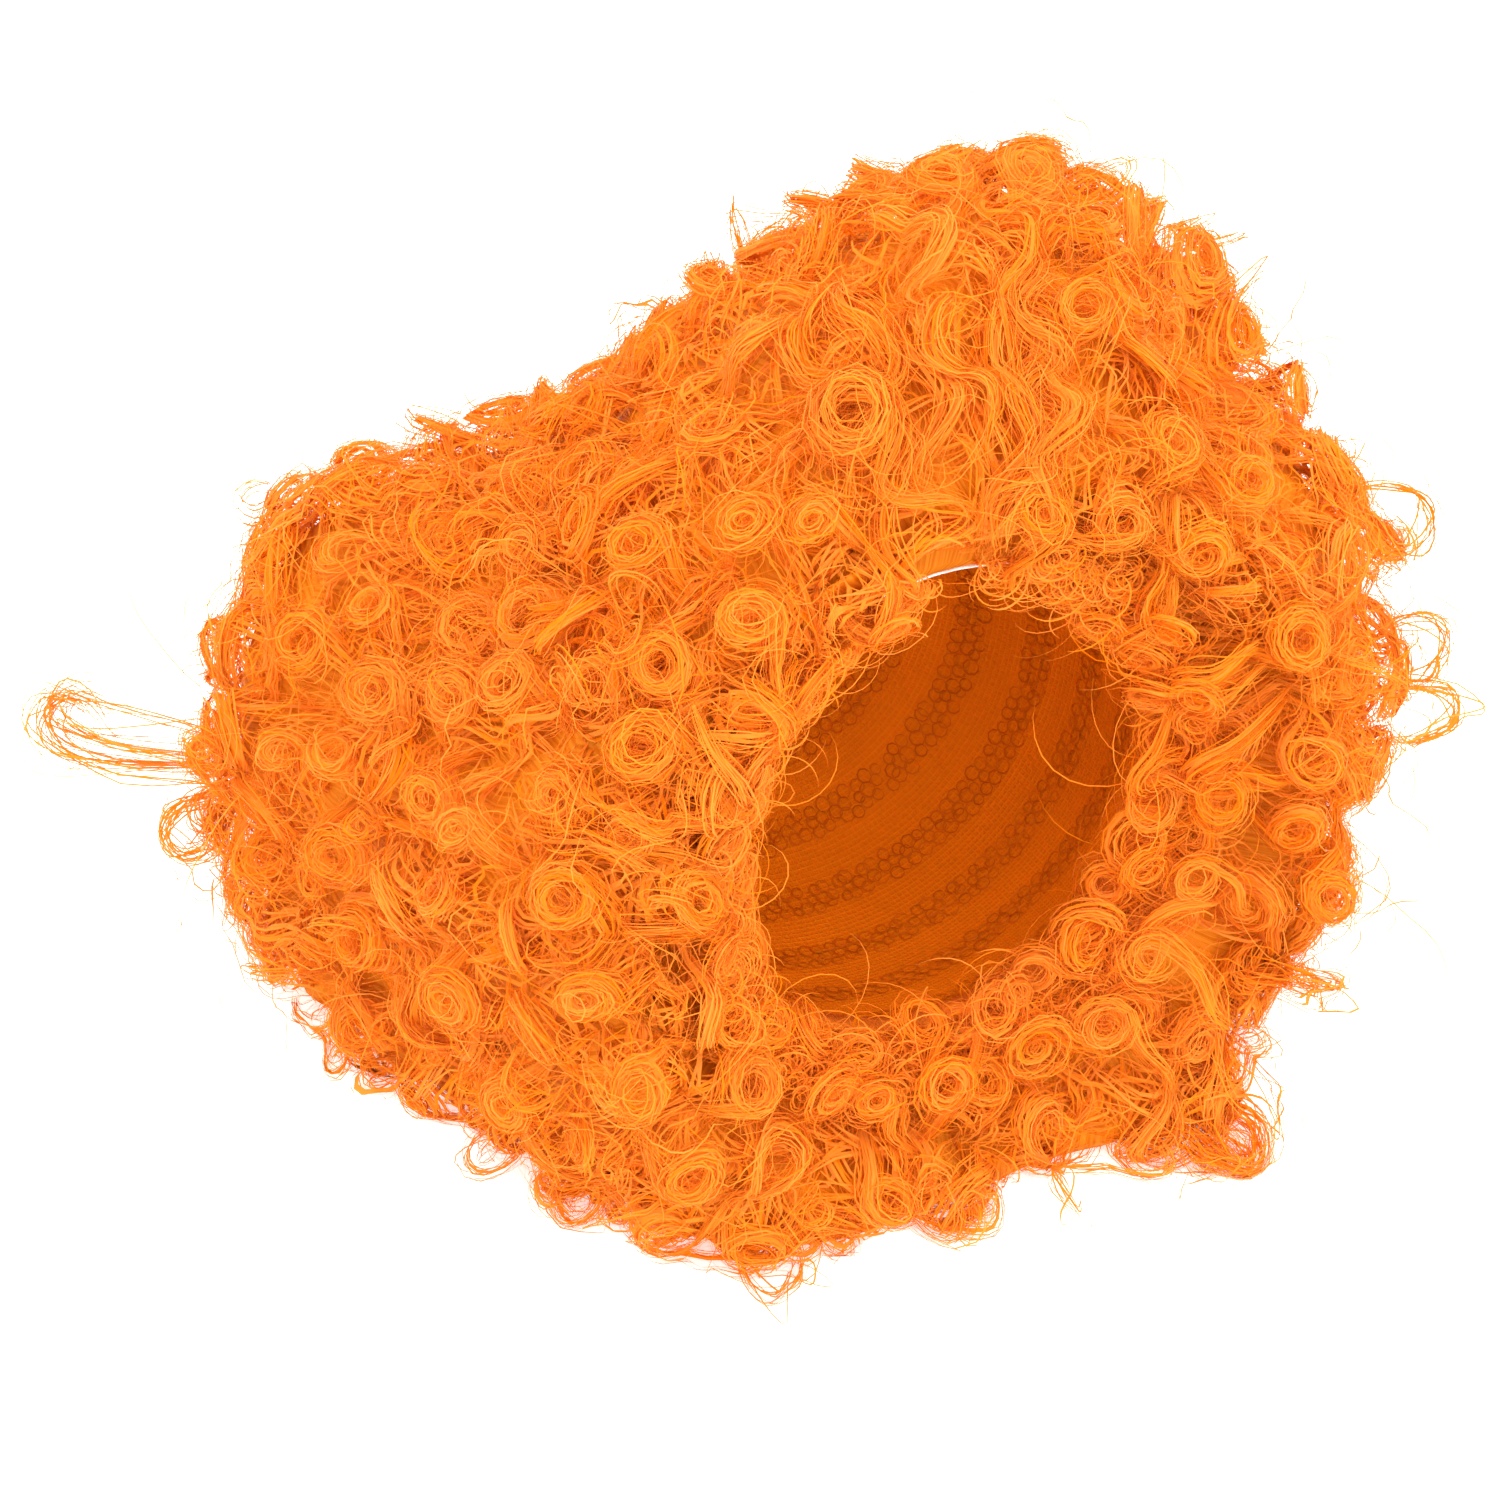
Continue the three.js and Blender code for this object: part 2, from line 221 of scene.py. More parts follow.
# Wavy locks between and below the curls, more of them at the top
WAVE_SPACING = 19.0
WAVE_RANGE = (0.15, HAIR_END - 0.3)
WAVE_TOP = (1, 5)  # places that are at the top, so far to both sides
WAVE_TOP_HALF = 1.0
WAVE_LIP_END = 1.5
WAVE_SHARE = 0.58
WAVE_SHARE_LIP = 0.5
WAVE_SHARE_TOP = 0.9
WAVE_BUNCH = (2, 18)  # bands and strands
WAVE_LENGTH = (40, 80)
WAVES = (0.4, 0.9)
WAVE_CURL = (2.5, 5.5)
WAVE_DEPTH = (2, 7)
WAVE_WIDTH = (6, 11)
WAVE_STEPS = 14
WAVE_ROOT = 9.0
WAVE_STEM = 0.25

# Long waves that fall over the forehead, in a strip that has few curls
FALL_COUNT = 18
FALL_BUNCH = (3, 34)
FALL_PLACE = (2.3, 3.9)
FALL_ANGLE = (70, 98)
FALL_ASIDE = (0.1, 0.45)
FALL_LENGTH = (70, 112)
FALL_WAVE = (40, 60)
FALL_CURL = (-1, 1)
FALL_DEPTH = (-2, 5)
FALL_STEPS = 28
FOREHEAD = (0.9, 3.8)
FOREHEAD_HALF = math.radians(17)
FOREHEAD_BARE = 0.85

# Curls that lie on the floor round the edge of the hair
FLOOR_SPACING = 15.0
FLOOR_RANGE = (0.8, HAIR_END - 0.6)
FLOOR_NEAR = 8.0
FLOOR_ASIDE = (-3, 5)
FLOOR_RISE = (3, 9)
FLOOR_BUNCH = (1, 15)
FLOOR_OUTER = (8, 13)
FLOOR_TURNS = (1.1, 1.7)
FLOOR_ROOT = 3.0

# Thin curls that stand off the rest, more of them low down
THIN_SPACING = 17.0
THIN_RANGE = (0.8, HAIR_END - 0.3)
THIN_TRIES = 9000
THIN_SHARE = 0.16
THIN_SHARE_LOW = 0.4
THIN_LOW = 50.0
THIN_LOWEST = 6.0
THIN_STRANDS = 9
THIN_DEPTH = (-5, 3)
THIN_RING = ((20, 90), (8, 14), (1.0, 1.5))  # lean, outer radius, turns

# Single hairs in each weft, which lie over the locks or stand off them
HAIR_ROLL = (-0.8, 0.8)
HAIR_CLEAR = 1.0  # above the floor
LYING_COUNT = 380
LYING_LENGTH = (26, 60)
LYING_CURL = (1.5, 6.0)
LYING_RISE = (4, 11)
LYING_ARCH = (0.6, 1.0)
LYING_ROOT = 5.0
LYING_STEPS = 10
STANDING_COUNT = 200
STANDING = (4, (22, 48), (0.2, 1.2), (-6.0, -2.5), 10)  # root depth, length, heading, curl, steps

# Where the hair is fuller or thinner than its reach: place and angle on it, radius and rise
SWELLS = [
    (5.4, 75, 40, -6),
    (6.0, 110, 35, -6),
    (6.5, 152, 30, 12),
    (6.7, 168, 25, 8),
    (2.6, 42, 24, -21),
    (3.1, 46, 18, -9),
    (2.2, 27, 15, 9),
    (2.3, 8, 28, 7),
    (1.9, 340, 16, -7),
    (1.3, 317, 20, -14),
    (1.2, 297, 18, 9),
    (5.6, 212, 28, 9),
    (4.4, 216, 26, 10),
    (5.2, 191, 16, -15),
    (1.3, 240, 30, 7),
    (3.3, 205, 14, -9),
    (4.2, 112, 13, -9),
    (3.3, 82, 20, 7),
    (2.3, 88, 20, 8),
    (1.4, 95, 16, 7),
]
DOME_FLAT = 6.0  # a curl keeps its height so far from its middle
DOME_EDGE = 17.0  # and sinks until here
DOME_SINK = 8.0
DOME_BLEND = 8.0  # over which the lean of one curl passes into the next
DOME_NEAR = 30.0  # points farther from a curl's middle stay in place
DOME_FADE = 8.0
SHAPED_AT_ONCE = 20000

# Curls that show best from the front: place and angle on the reach, outer radius
SEEN_CURLS = [
    (2.48, 69, 13.0),
    (2.30, 99, 17.0),
    (2.20, 116, 12.0),
    (1.88, 110, 10.0),
    (1.20, 81, 11.0),
    (0.12, 63, 12.5),
    (4.33, 164, 15.5),
    (3.65, 158, 12.0),
    (3.20, 151, 11.5),
    (1.70, 124, 14.5),
    (2.05, 136, 12.5),
    (1.83, 146, 15.0),
    (3.35, 168, 12.0),
    (2.95, 168, 9.5),
    (0.35, 5, 14.0),
    (0.20, 340, 12.5),
    (0.25, 208, 11.5),
    (0.12, 236, 11.5),
    (0.60, 211, 12.5),
    (2.57, 201, 12.0),
    (4.08, 139, 11.5),
    (7.30, 152, 12.0),
    (1.33, 213, 13.5),
    (0.95, 244, 12.5),
    (1.98, 169, 13.5),
    (4.23, 183, 13.5),
    (0.98, 23, 13.0),
    (0.93, 334, 12.0),
    (1.63, 45, 13.0),
    (0.82, 166, 12.0),
    (2.80, 127, 12.5),
    (5.15, 165, 12.0),
    (1.40, 196, 13.0),
    (0.40, 266, 13.0),
    (0.42, 300, 13.0),
    (3.73, 75, 13.0),
    (1.68, 59, 12.5),
    (2.90, 189, 13.0),
]
SEEN_TURN = 0.45  # how far such a curl turns from straight out towards the front view
SEEN_DEPTH = (-1, 2)
SEEN_TURNS = (1.5, 2.0)
SEEN_STRANDS = LOCK_STRANDS + 8

# Undercoat: bunches in each weft, more of them near the floor, up to twice this height
UNDER_COUNT = 1150
UNDER_FRONT = 450  # more in the wefts that the front shows best
FRONT_END = 5.0
UNDER_LOW = 330
UNDER_TRIES = 6 * UNDER_LOW
UNDER_HEIGHT = 15.0
UNDER_STEPS = 7
UNDER_DEPTH = (4, 11)
UNDER_LOW_DEPTH = (0, 7)
UNDER_ENDS = 4.0  # how much deeper the ends lie
UNDER_LENGTH = (26, 46)
UNDER_BEND = (0.8, 3.3)
UNDER_ROLL = (-0.5, 0.5)
UNDER_TONE = (0.06, 0.94)
UNDER_WIDTH = (0.5, 1.05)
UNDER_GROUP = 4
UNDER_APART = 1.5  # between the bunches of a group
ROW_MM = 48.0  # one row of the reach
GIRTH_MM = 150.0  # its usual radius

# Small curls along the lip, in two rows: place of the row, spacing in degrees
FRINGE = "rim_fringe"
LIP_CURLS = [
    (0.0, 10),
    (0.42, 14),
]
LIP_END = 0.6  # up to this place the stems run outwards, so that none sticks out into the opening
LIP_TOP = math.radians(88)  # where they leave the elastic bare
LIP_FULLEST = math.radians(330)  # where they hang over the rim most
LIP_ASIDE = (-0.3, 0.3)  # of the spacing
LIP_HANG = 0.22
LIP_INNER = (1.02, 1.1)
LIP_RISE = (0, 9)
LIP_CLEAR = 12.0  # of a curl that shows well
LIP_BUNCH = (2, 27)
LIP_RING = ((0, 45), (10, 15), (1.2, 1.7))  # lean, outer radius, turns

# Hair that hangs over the rim into the opening: number, length, curl, thickness
RIM_HAIRS = [
    (1900, (18, 40), (2, 6.5), 1.7),
    (300, (26, 58), (2, 6), 1),
    (80, (45, 85), (2, 5), 1),
]
RIM_TRIES = 3  # hairs drawn for each one kept
RIM_LEAST = 0.5  # how many of them stay at the top
RIM_MOST = 0.8  # and where all of them do
RIM_START = (0.02, 0.3)
RIM_BACK = 0.3  # how much farther back they start where they hang least
RIM_DROP = (-0.5, 0.3)
RIM_ASIDE = 0.8
RIM_STEPS = 11

# Short hair over the throat between the lip and the elastic
THROAT_HAIRS = 1300
THROAT_START = (0.02, 0.2)
THROAT_LENGTH = (14, 26)
THROAT_CURL = (2, 7)
THROAT_INWARD = 0.3
THROAT_ASIDE = 0.7
THROAT_THICK = 2.2
THROAT_STEPS = 8

# Fine wisps at the outline: lowest and highest place, lowest and highest angle, number
WISPS = [
    (2.0, 4.6, 15, 70, 120),
    (4.5, 6.8, 170, 225, 120),
    (1.0, 2.6, -40, 15, 90),
]
WISP = (3, (24, 56), (0.5, 1.5), (-6.5, -0.5), 11)  # root depth, length, heading, curl, steps

# Loose locks that stand clear of the rest: weft, strands, spread of the strands, then points of its line
LOOSE_LOCKS = [
    ("weft_6", 40, 5.0, [
        (-140, -33, -164), (-158, -32, -178), (-177, -28, -189), (-197, -25, -200), (-210, -21, -209),
        (-213, -13, -216), (-206, -6, -218), (-197, -9, -212), (-192, -19, -202), (-184, -27, -193),
    ]),
    ("weft_6", 28, 5.0, [
        (-134, -29, -160), (-152, -29, -173), (-172, -24, -187), (-192, -19, -200), (-205, -13, -209),
        (-207, -7, -213), (-199, -4, -213), (-190, -9, -206), (-184, -18, -198),
    ]),
    ("weft_6", 14, 5.0, [
        (-136, -25, -162), (-158, -22, -180), (-180, -13, -197), (-198, -6, -211), (-209, -2, -219),
        (-212, -4, -220),
    ]),
    ("weft_6", 24, 4.0, [
        (-140, -40, -164), (-162, -39, -180), (-178, -41, -187), (-187, -48, -186), (-184, -55, -179),
        (-175, -53, -177), (-172, -45, -181), (-178, -41, -186),
    ]),
    ("weft_6", 20, 4.0, [
        (-138, -33, -162), (-160, -34, -179), (-172, -38, -185), (-176, -45, -183), (-169, -50, -177),
        (-161, -45, -174), (-164, -37, -179),
    ]),
    ("weft_3", 22, 3.0, [
        (146, 34, -38), (162, 39, -32), (175, 39, -27), (184, 36, -21), (185, 28, -15),
        (178, 20, -13), (171, 24, -18), (173, 31, -23),
    ]),
    ("weft_2", 20, 3.0, [
        (140, -22, 0), (156, -16, 3), (168, -16, 6), (178, -23, 8), (177, -33, 9),
        (168, -36, 8), (162, -30, 6), (166, -23, 5),
    ]),
    ("weft_2", 20, 3.0, [
        (146, -2, -4), (160, 4, -4), (172, 3, 0), (178, -5, 4), (172, -13, 6), (164, -10, 4), (166, -3, 1),
    ]),
    ("weft_2", 54, 6.5, [
        (40, -104, 6), (49, -115, 24), (54, -120, 38), (58, -124, 50), (66, -127, 56),
        (72, -126, 48), (68, -122, 37), (60, -120, 31),
    ]),
    ("weft_2", 54, 6.5, [
        (60, -104, 4), (66, -115, 20), (74, -120, 34), (78, -124, 46), (70, -127, 56),
        (61, -126, 53), (59, -122, 41), (66, -120, 32),
    ]),
    ("weft_2", 46, 6.5, [
        (48, -106, 4), (56, -116, 22), (62, -120, 36), (64, -124, 48), (58, -127, 52),
        (52, -125, 45), (55, -121, 34),
    ]),
    ("weft_2", 40, 6.0, [
        (84, -80, 34), (98, -86, 41), (111, -90, 44), (120, -94, 44), (116, -98, 44), (105, -95, 42),
    ]),
    ("weft_2", 40, 7.0, [
        (28, -106, 4), (34, -116, 18), (41, -121, 28), (48, -124, 34), (52, -124, 27), (46, -120, 20),
    ]),
    ("weft_2", 12, 1.5, [(24, -118, 14), (19, -124, 30), (13, -127, 44), (11, -128, 53), (16, -128, 52)]),
    ("weft_2", 8, 1.0, [(92, -116, 15), (95, -123, 34), (92, -127, 46), (85, -128, 53), (83, -127, 44)]),
    ("weft_2", 22, 2.5, [
        (-80, -114, 8), (-88, -120, 20), (-92, -124, 30), (-87, -126, 40), (-77, -126, 37),
        (-73, -123, 27), (-80, -120, 19),
    ]),
]

# Where the hair parts over the elastic, and half the gap's width and height
PARTING = (4.0, 80.0, 2.0)
PARTING_HALF = (9.5, 3.8)
PARTING_DEEP = 4.0  # hair this far behind the middle of it stays

# Dense hair below the curls
MASS_SINK = 16.5
MASS_LOW = 30.0  # below this height it comes closer to the curls, so that nothing shows through
MASS_RISE = 7.0
MASS_LUMP = 2.5
MASS_LUMP_MM = 7.0
MASS_AROUND = 72
MASS_RINGS = 7
MASS_SEWN = 4  # rings along the cap
MASS_FIRST = 0.3
MASS_U = (0.03, 0.94)  # where the pattern starts on the texture, and how far it runs
# v of the dense hair, which gives it the deep orange of the painted shade
MASS_V = (0.02, 0.12)
MASS_BEND = 0.004  # how far the strands in it bend aside, as a share of the pattern
MASS_FOLD = 36  # columns in which the strand pattern runs once over the texture
LIP_FRONT = 14.0
THROAT_FRONT = 6.0

# Photograph: its side in pixels, real millimetres a pixel, the rim's middle in it and the view on it
PHOTO_SIDE = 1500
PHOTO_MM = 0.30
RIM_PIXEL = (940, 800)
VIEW_TURN = math.radians(-27)
VIEW_RISE = math.radians(42)
VIEW_FAR = 1400.0
SENSOR = 36.0

# Studio, with lengths in metres. Few bounces are enough in hair this pale.
FLOOR_SIDE = 12.0
PAPER_GLOW = 0.5
STUDIO_LIGHT = 1.8
KEY_SIZE = 1.6
KEY_POWER = 15.0
KEY_BACK = 1.1
KEY_UP = 0.5
KEY_RIGHT = 0.2
MOST_BOUNCES = 4
DIFFUSE_BOUNCES = 3
TRANSMISSION_BOUNCES = 1

# Scales of the materials, from real sizes in millimetres
FIBRE_IOR = 1.45
STRAND_LINES = 300.0  # strands over the whole width of the texture
STRAND_MM = 0.6  # one drawn strand
STRAND_RELIEF = 0.15
LOCK_TONES = 9.0  # slower changes of tone over the same width
THROUGH = 0.35  # share of the light that passes through the fibre
NET_MM = 1.8
NET_ROUND = round(TURN * CAP_RADIUS / NET_MM)  # meshes round the cap
NET_ALONG = round(CAP_LONG / NET_MM)  # and from its rim to its crown
NET_RELIEF = 0.4
NET_PATCHES = 7.0  # patches round the cap in which the bare net shows through
RIB_MM = 1.0
RIBS = round(TURN * CAP_ROWS[0, 1] / RIB_MM)
RIB_RELIEF = 0.4

# Directions of the front view: towards the camera, to the right and up
back = Vector((
    math.sin(VIEW_TURN) * math.cos(VIEW_RISE),
    -math.cos(VIEW_TURN) * math.cos(VIEW_RISE),
    math.sin(VIEW_RISE),
))
right = Vector((math.cos(VIEW_TURN), math.sin(VIEW_TURN), 0))
up = back.cross(right)

# Box that the hair stays in, and how the cap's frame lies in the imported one
proud = SOFT_SHARE * np.array(cad_high - cad_low) / MM + SOFT_MORE
LIMIT_LOW = np.array(cad_low) / MM - proud
LIMIT_LOW[2] = FLOOR_GAP
LIMIT_HIGH = np.array(cad_high) / MM + proud
band_low, band_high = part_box("rim_band")
TO_PART = np.array([
    (1, 0, 0),
    (0, math.sin(LEAN), -math.cos(LEAN)),
    (0, math.cos(LEAN), math.sin(LEAN)),
])
RIM = np.array((band_low + band_high) / 2) / MM - TO_PART @ np.array((0, 0, BAND_MIDDLE))

rng = np.random.default_rng(SEED)


def linear(code):
    """Linear colour from an sRGB hex value."""
    parts = [int(code[i:i + 2], 16) / 255 for i in (1, 3, 5)]
    return [p / 12.92 if p <= 0.04045 else ((p + 0.055) / 1.055) ** 2.4 for p in parts] + [1.0]


def add_node(tree, kind, settings=None, links=None):
    """Adds one shader node with its settings and links, and gives its outputs."""
    node = tree.nodes.new("ShaderNode" + kind)
    for name, value in (settings or {}).items():
        if isinstance(name, int) or name in node.inputs:
            node.inputs[name].default_value = value
        else:
            setattr(node, name, value)
    for name, source in (links or {}).items():
        tree.links.new(source, node.inputs[name])
    return node.outputs


def new_material(name):
    """An empty node material and its tree."""
    material = bpy.data.materials.new(name)
    material.use_nodes = True
    material.node_tree.nodes.clear()
    return material, material.node_tree


def through(a, b, c, d, t):
    """Smooth curve through four values, from the second to the third."""
    return b + 0.5 * t * (c - a + t * (2 * a - 5 * b + 4 * c - d + t * (3 * (b - c) + d - a)))


def row_at(rows, place):
    """All columns of a table at places counted in rows."""
    last = len(rows) - 1
    i = np.clip(np.floor(place).astype(int), 0, last - 1)
    near = [rows[np.clip(i + step, 0, last)] for step in (-1, 0, 1, 2)]
    return through(*near, (place - i)[..., None])


def cap_point(place, angle, offset):
    """Points of the cap's outside, moved out by offset."""
    place, angle = np.broadcast_arrays(np.asarray(place, float), np.asarray(angle, float))
    row = row_at(CAP_ROWS, place)
    grow = 1 + offset / CAP_ROWS[CAP_WIDEST, 1]
    deeper = offset * np.clip((place - CAP_WIDEST) / (CAP_CROWN - CAP_WIDEST), 0, 1)
    x = row[..., 1] * grow * np.cos(angle)
    y = row[..., 2] * grow * np.sin(angle)
    return np.stack([x, y, row[..., 0] - deeper], -1)


def reach(place, angle):
    """Points of the hair's outer reach."""
    place, angle = np.broadcast_arrays(np.asarray(place, float), np.asarray(angle, float))
    row = row_at(HAIR_ROWS, place)
    turned = np.mod(angle, TURN)
    count = len(HAIR_ANGLES)
    k = np.searchsorted(HAIR_ANGLES, turned, side="right") - 1
    start = HAIR_ANGLES[k]
    end = np.where(k + 1 < count, HAIR_ANGLES[(k + 1) % count], TURN)
    near = []
    for step in (-1, 0, 1, 2):
        column = 1 + (k + step) % count
        near.append(np.take_along_axis(row, column[..., None], -1)[..., 0])
    radius = through(*near, (turned - start) / (end - start))
    return np.stack([radius * np.cos(angle), radius * np.sin(angle), row[..., 0]], -1)


def unit(vectors):
    """Vectors of length 1."""
    return vectors / np.maximum(np.linalg.norm(vectors, axis=-1, keepdims=True), 1e-9)


def hair_slopes(place, angle):
    """Small steps on the reach: away from the opening and round the cap."""
    away = reach(place + PROBE, angle) - reach(place - PROBE, angle)
    round_way = reach(place, angle + PROBE) - reach(place, angle - PROBE)
    return away, round_way


def hair_axes(place, angle):
    """Directions on the reach: out of it, round the cap and away from the opening."""
    away, round_way = hair_slopes(np.clip(place, PROBE, HAIR_END - 2 * PROBE), angle)
    away = unit(away)
    round_way = unit(round_way)
    return unit(np.cross(away, round_way)), round_way, away


def hair_bends(place, angle):
    """Curvature of the reach round the cap and away from the opening."""
    inside = np.clip(place, BEND_PROBE, HAIR_END - BEND_PROBE)
    out = hair_axes(inside, angle)[0]
    here = reach(inside, angle)
    bends = []
    for turn, step in ((BEND_PROBE, 0), (0, BEND_PROBE)):
        ahead = reach(inside + step, angle + turn)
        behind = reach(inside - step, angle - turn)
        half = np.linalg.norm(ahead - behind, axis=-1) / 2
        sag = -np.sum((ahead + behind - 2 * here) * out, -1)
        bends.append(np.clip(sag / np.maximum(half, 1) ** 2, *BEND_LIMITS))
    return bends


def to_part(points):
    """Points of the cap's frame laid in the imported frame, still in millimetres."""
    return points @ TO_PART.T + RIM


def to_cap(direction):
    """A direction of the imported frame, in the cap's frame."""
    return np.array(direction) @ TO_PART


def height_of(place, angle):
    """Height of the reach above the floor."""
    return to_part(reach(place, angle))[..., 2]


def angle_between(angle, middle):
    """How far apart two angles are, the shorter way round."""
    return np.abs(np.remainder(angle - middle + math.pi, TURN) - math.pi)


def mesh_piece(name, points, faces, uv, material, slot):
    """A smooth mesh from points in the cap's frame, with one texture place a point or a face corner."""
    laid = np.clip(to_part(np.asarray(points, float)), LIMIT_LOW, LIMIT_HIGH)
    mesh = bpy.data.meshes.new(name)
    mesh.from_pydata((laid * MM).tolist(), [], faces.tolist())
    layer = mesh.uv_layers.new(name=TEXTURE)
    corner_uv = uv if len(uv) == faces.size else uv[faces.ravel()]
    layer.data.foreach_set("uv", corner_uv.astype(np.float32).ravel())
    mesh.materials.append(material)
    mesh.polygons.foreach_set("use_smooth", np.ones(len(faces), bool))
    mesh.update()
    piece = bpy.data.objects.new(name, mesh)
    bpy.context.scene.collection.objects.link(piece)
    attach(piece, "root")
    return piece


def ring_faces(rings, around):
    """Faces between rings of points, each closed on itself."""
    ring = np.arange(rings - 1)[:, None] * around
    i = np.arange(around)
    j = (i + 1) % around
    quads = np.stack([ring + i, ring + j, ring + around + j, ring + around + i], -1)
    return quads.reshape(-1, 4)


def ring_uv(levels, around):
    """Texture places of the corners of ring_faces, where u runs once round and each ring has its v."""
    step = np.arange(around)
    u = np.stack([step, step + 1, step + 1, step], -1) / around
    low, high = np.asarray(levels[:-1]), np.asarray(levels[1:])
    v = np.stack([low, low, high, high], -1)[:, None, :]
    u, v = np.broadcast_arrays(u[None], v)
    return np.stack([u, v], -1).reshape(-1, 2)


# Curled synthetic fibre: spun smooth and set into curls by heat, so each strand is a satin line. Its colour
# is painted deeper orange at its root and in the dense hair, as painted shade deep in the hair, and lighter
# towards its tip, where it comes to the top. Across a ribbon the pattern runs from strand to strand, and
# each is drawn several times as wide as the real fibre so that it shows. Light passes through the fibre from
# lock to lock, so that the gaps glow and the roots look no redder than the tips.
def curled_fibre():
    """Material of the hair. Its u runs from strand to strand, and its v from root to tip."""
    material, tree = new_material("curled_synthetic_fibre")
    place = add_node(tree, "UVMap", {"uv_map": TEXTURE})
    parts = add_node(tree, "SeparateXYZ", None, {0: place[0]})
    lines = add_node(
        tree, "TexNoise",
        {"noise_dimensions": "1D", "Scale": STRAND_LINES, "Detail": 2.0, "Roughness": 0.5},
        {"W": parts["X"]},
    )
    locks = add_node(
        tree, "TexNoise", {"noise_dimensions": "1D", "Scale": LOCK_TONES, "Detail": 0.0},
        {"W": parts["X"]},
    )
    both = add_node(tree, "Math", {"operation": "ADD"}, {0: lines["Fac"], 1: locks["Fac"]})
    spread = add_node(tree, "MapRange", {"From Min": 0.7, "From Max": 1.3}, {"Value": both[0]})
    tone = add_node(
        tree, "Mix", {"data_type": "RGBA", 6: linear("#FB8700"), 7: linear("#FF9A3C")},
        {0: spread[0]},
    )
    combed = add_node(tree, "MapRange", {"From Min": 0.36, "From Max": 0.62}, {"Value": lines["Fac"]})
    # Painted shade: the deep orange of the roots and the dense hair, with strand lines across it
    painted_root_shade = add_node(
        tree, "Mix", {"data_type": "RGBA", 6: linear("#E67600"), 7: linear("#FF9720")},
        {0: combed[0]},
    )
    # From the painted shade at v = 0 to the strand's own tone at v = 1
    rooted = add_node(tree, "Mix", {"data_type": "RGBA"}, {0: parts["Y"], 6: painted_root_shade[2], 7: tone[2]})
    relief = add_node(
        tree, "Bump", {"Strength": 0.5, "Distance": STRAND_RELIEF * MM}, {"Height": lines["Fac"]}
    )
    shader = add_node(
        tree, "BsdfPrincipled", {"Roughness": 0.55, "IOR": FIBRE_IOR, "Specular IOR Level": 0.1},
        {"Base Color": rooted[2], "Normal": relief[0]},
    )
    glow = add_node(tree, "BsdfTranslucent", None, {"Color": rooted[2]})
    light = add_node(tree, "MixShader", {0: THROUGH}, {1: shader[0], 2: glow[0]})
    add_node(tree, "OutputMaterial", None, {"Surface": light[0]})
    return material


# Knitted net: fine threads in square meshes with deep orange showing through, drawn a little coarser than
# the real 1.5 mm mesh so that it shows. Between the sewn tracks the net is bare in patches, and paler there.
def knitted_net():
    """Material of the cap. Its u runs round the cap, and its v from the rim to the crown."""
    material, tree = new_material("knitted_net")
    place = add_node(tree, "UVMap", {"uv_map": TEXTURE})
    meshes = add_node(tree, "Mapping", {"Scale": (NET_ROUND, NET_ALONG, 1)}, {"Vector": place[0]})
    parts = add_node(tree, "SeparateXYZ", None, {0: meshes[0]})
    across = add_node(tree, "Math", {"operation": "PINGPONG", 1: 0.5}, {0: parts["X"]})
    along = add_node(tree, "Math", {"operation": "PINGPONG", 1: 0.5}, {0: parts["Y"]})
    hole = add_node(tree, "Math", {"operation": "MINIMUM"}, {0: across[0], 1: along[0]})
    thread = add_node(
        tree, "MapRange", {"From Min": 0.1, "From Max": 0.22, "To Min": 1.0, "To Max": 0.0},
        {"Value": hole[0]},
    )
    along_cap = add_node(tree, "SeparateXYZ", None, {0: place[0]})
    in_tracks = add_node(
        tree, "MapRange", {"From Max": TRACK_APART / CAP_CROWN, "clamp": False},
        {"Value": along_cap["Y"]},
    )
    from_first = add_node(
        tree, "Math", {"operation": "SUBTRACT", 1: TRACK_FIRST / TRACK_APART}, {0: in_tracks[0]}
    )
    from_track = add_node(tree, "Math", {"operation": "PINGPONG", 1: 0.5}, {0: from_first[0]})
    bare = add_node(tree, "MapRange", {"From Min": 0.14, "From Max": 0.34}, {"Value": from_track[0]})
    patches = add_node(
        tree, "TexNoise", {"noise_dimensions": "2D", "Scale": NET_PATCHES, "Detail": 1.0},
        {"Vector": place[0]},
    )
    clear = add_node(tree, "MapRange", {"From Min": 0.38, "From Max": 0.66}, {"Value": patches["Fac"]})
    shown = add_node(tree, "Math", {"operation": "MULTIPLY"}, {0: bare[0], 1: clear[0]})
    holes = add_node(
        tree, "Mix", {"data_type": "RGBA", 6: linear("#EA7A00"), 7: linear("#F67E00")},
        {0: shown[0]},
    )
    threads = add_node(
        tree, "Mix", {"data_type": "RGBA", 6: linear("#EE8200"), 7: linear("#F88C06")},
        {0: shown[0]},
    )
    colour = add_node(tree, "Mix", {"data_type": "RGBA"}, {0: thread[0], 6: holes[2], 7: threads[2]})
    relief = add_node(
        tree, "Bump", {"Strength": 0.7, "Distance": NET_RELIEF * MM}, {"Height": thread[0]}
    )
    shader = add_node(
        tree, "BsdfPrincipled", {"Roughness": 0.85, "IOR": FIBRE_IOR, "Specular IOR Level": 0.15},
        {"Base Color": colour[2], "Normal": relief[0]},
    )
    add_node(tree, "OutputMaterial", None, {"Surface": shader[0]})
    return material


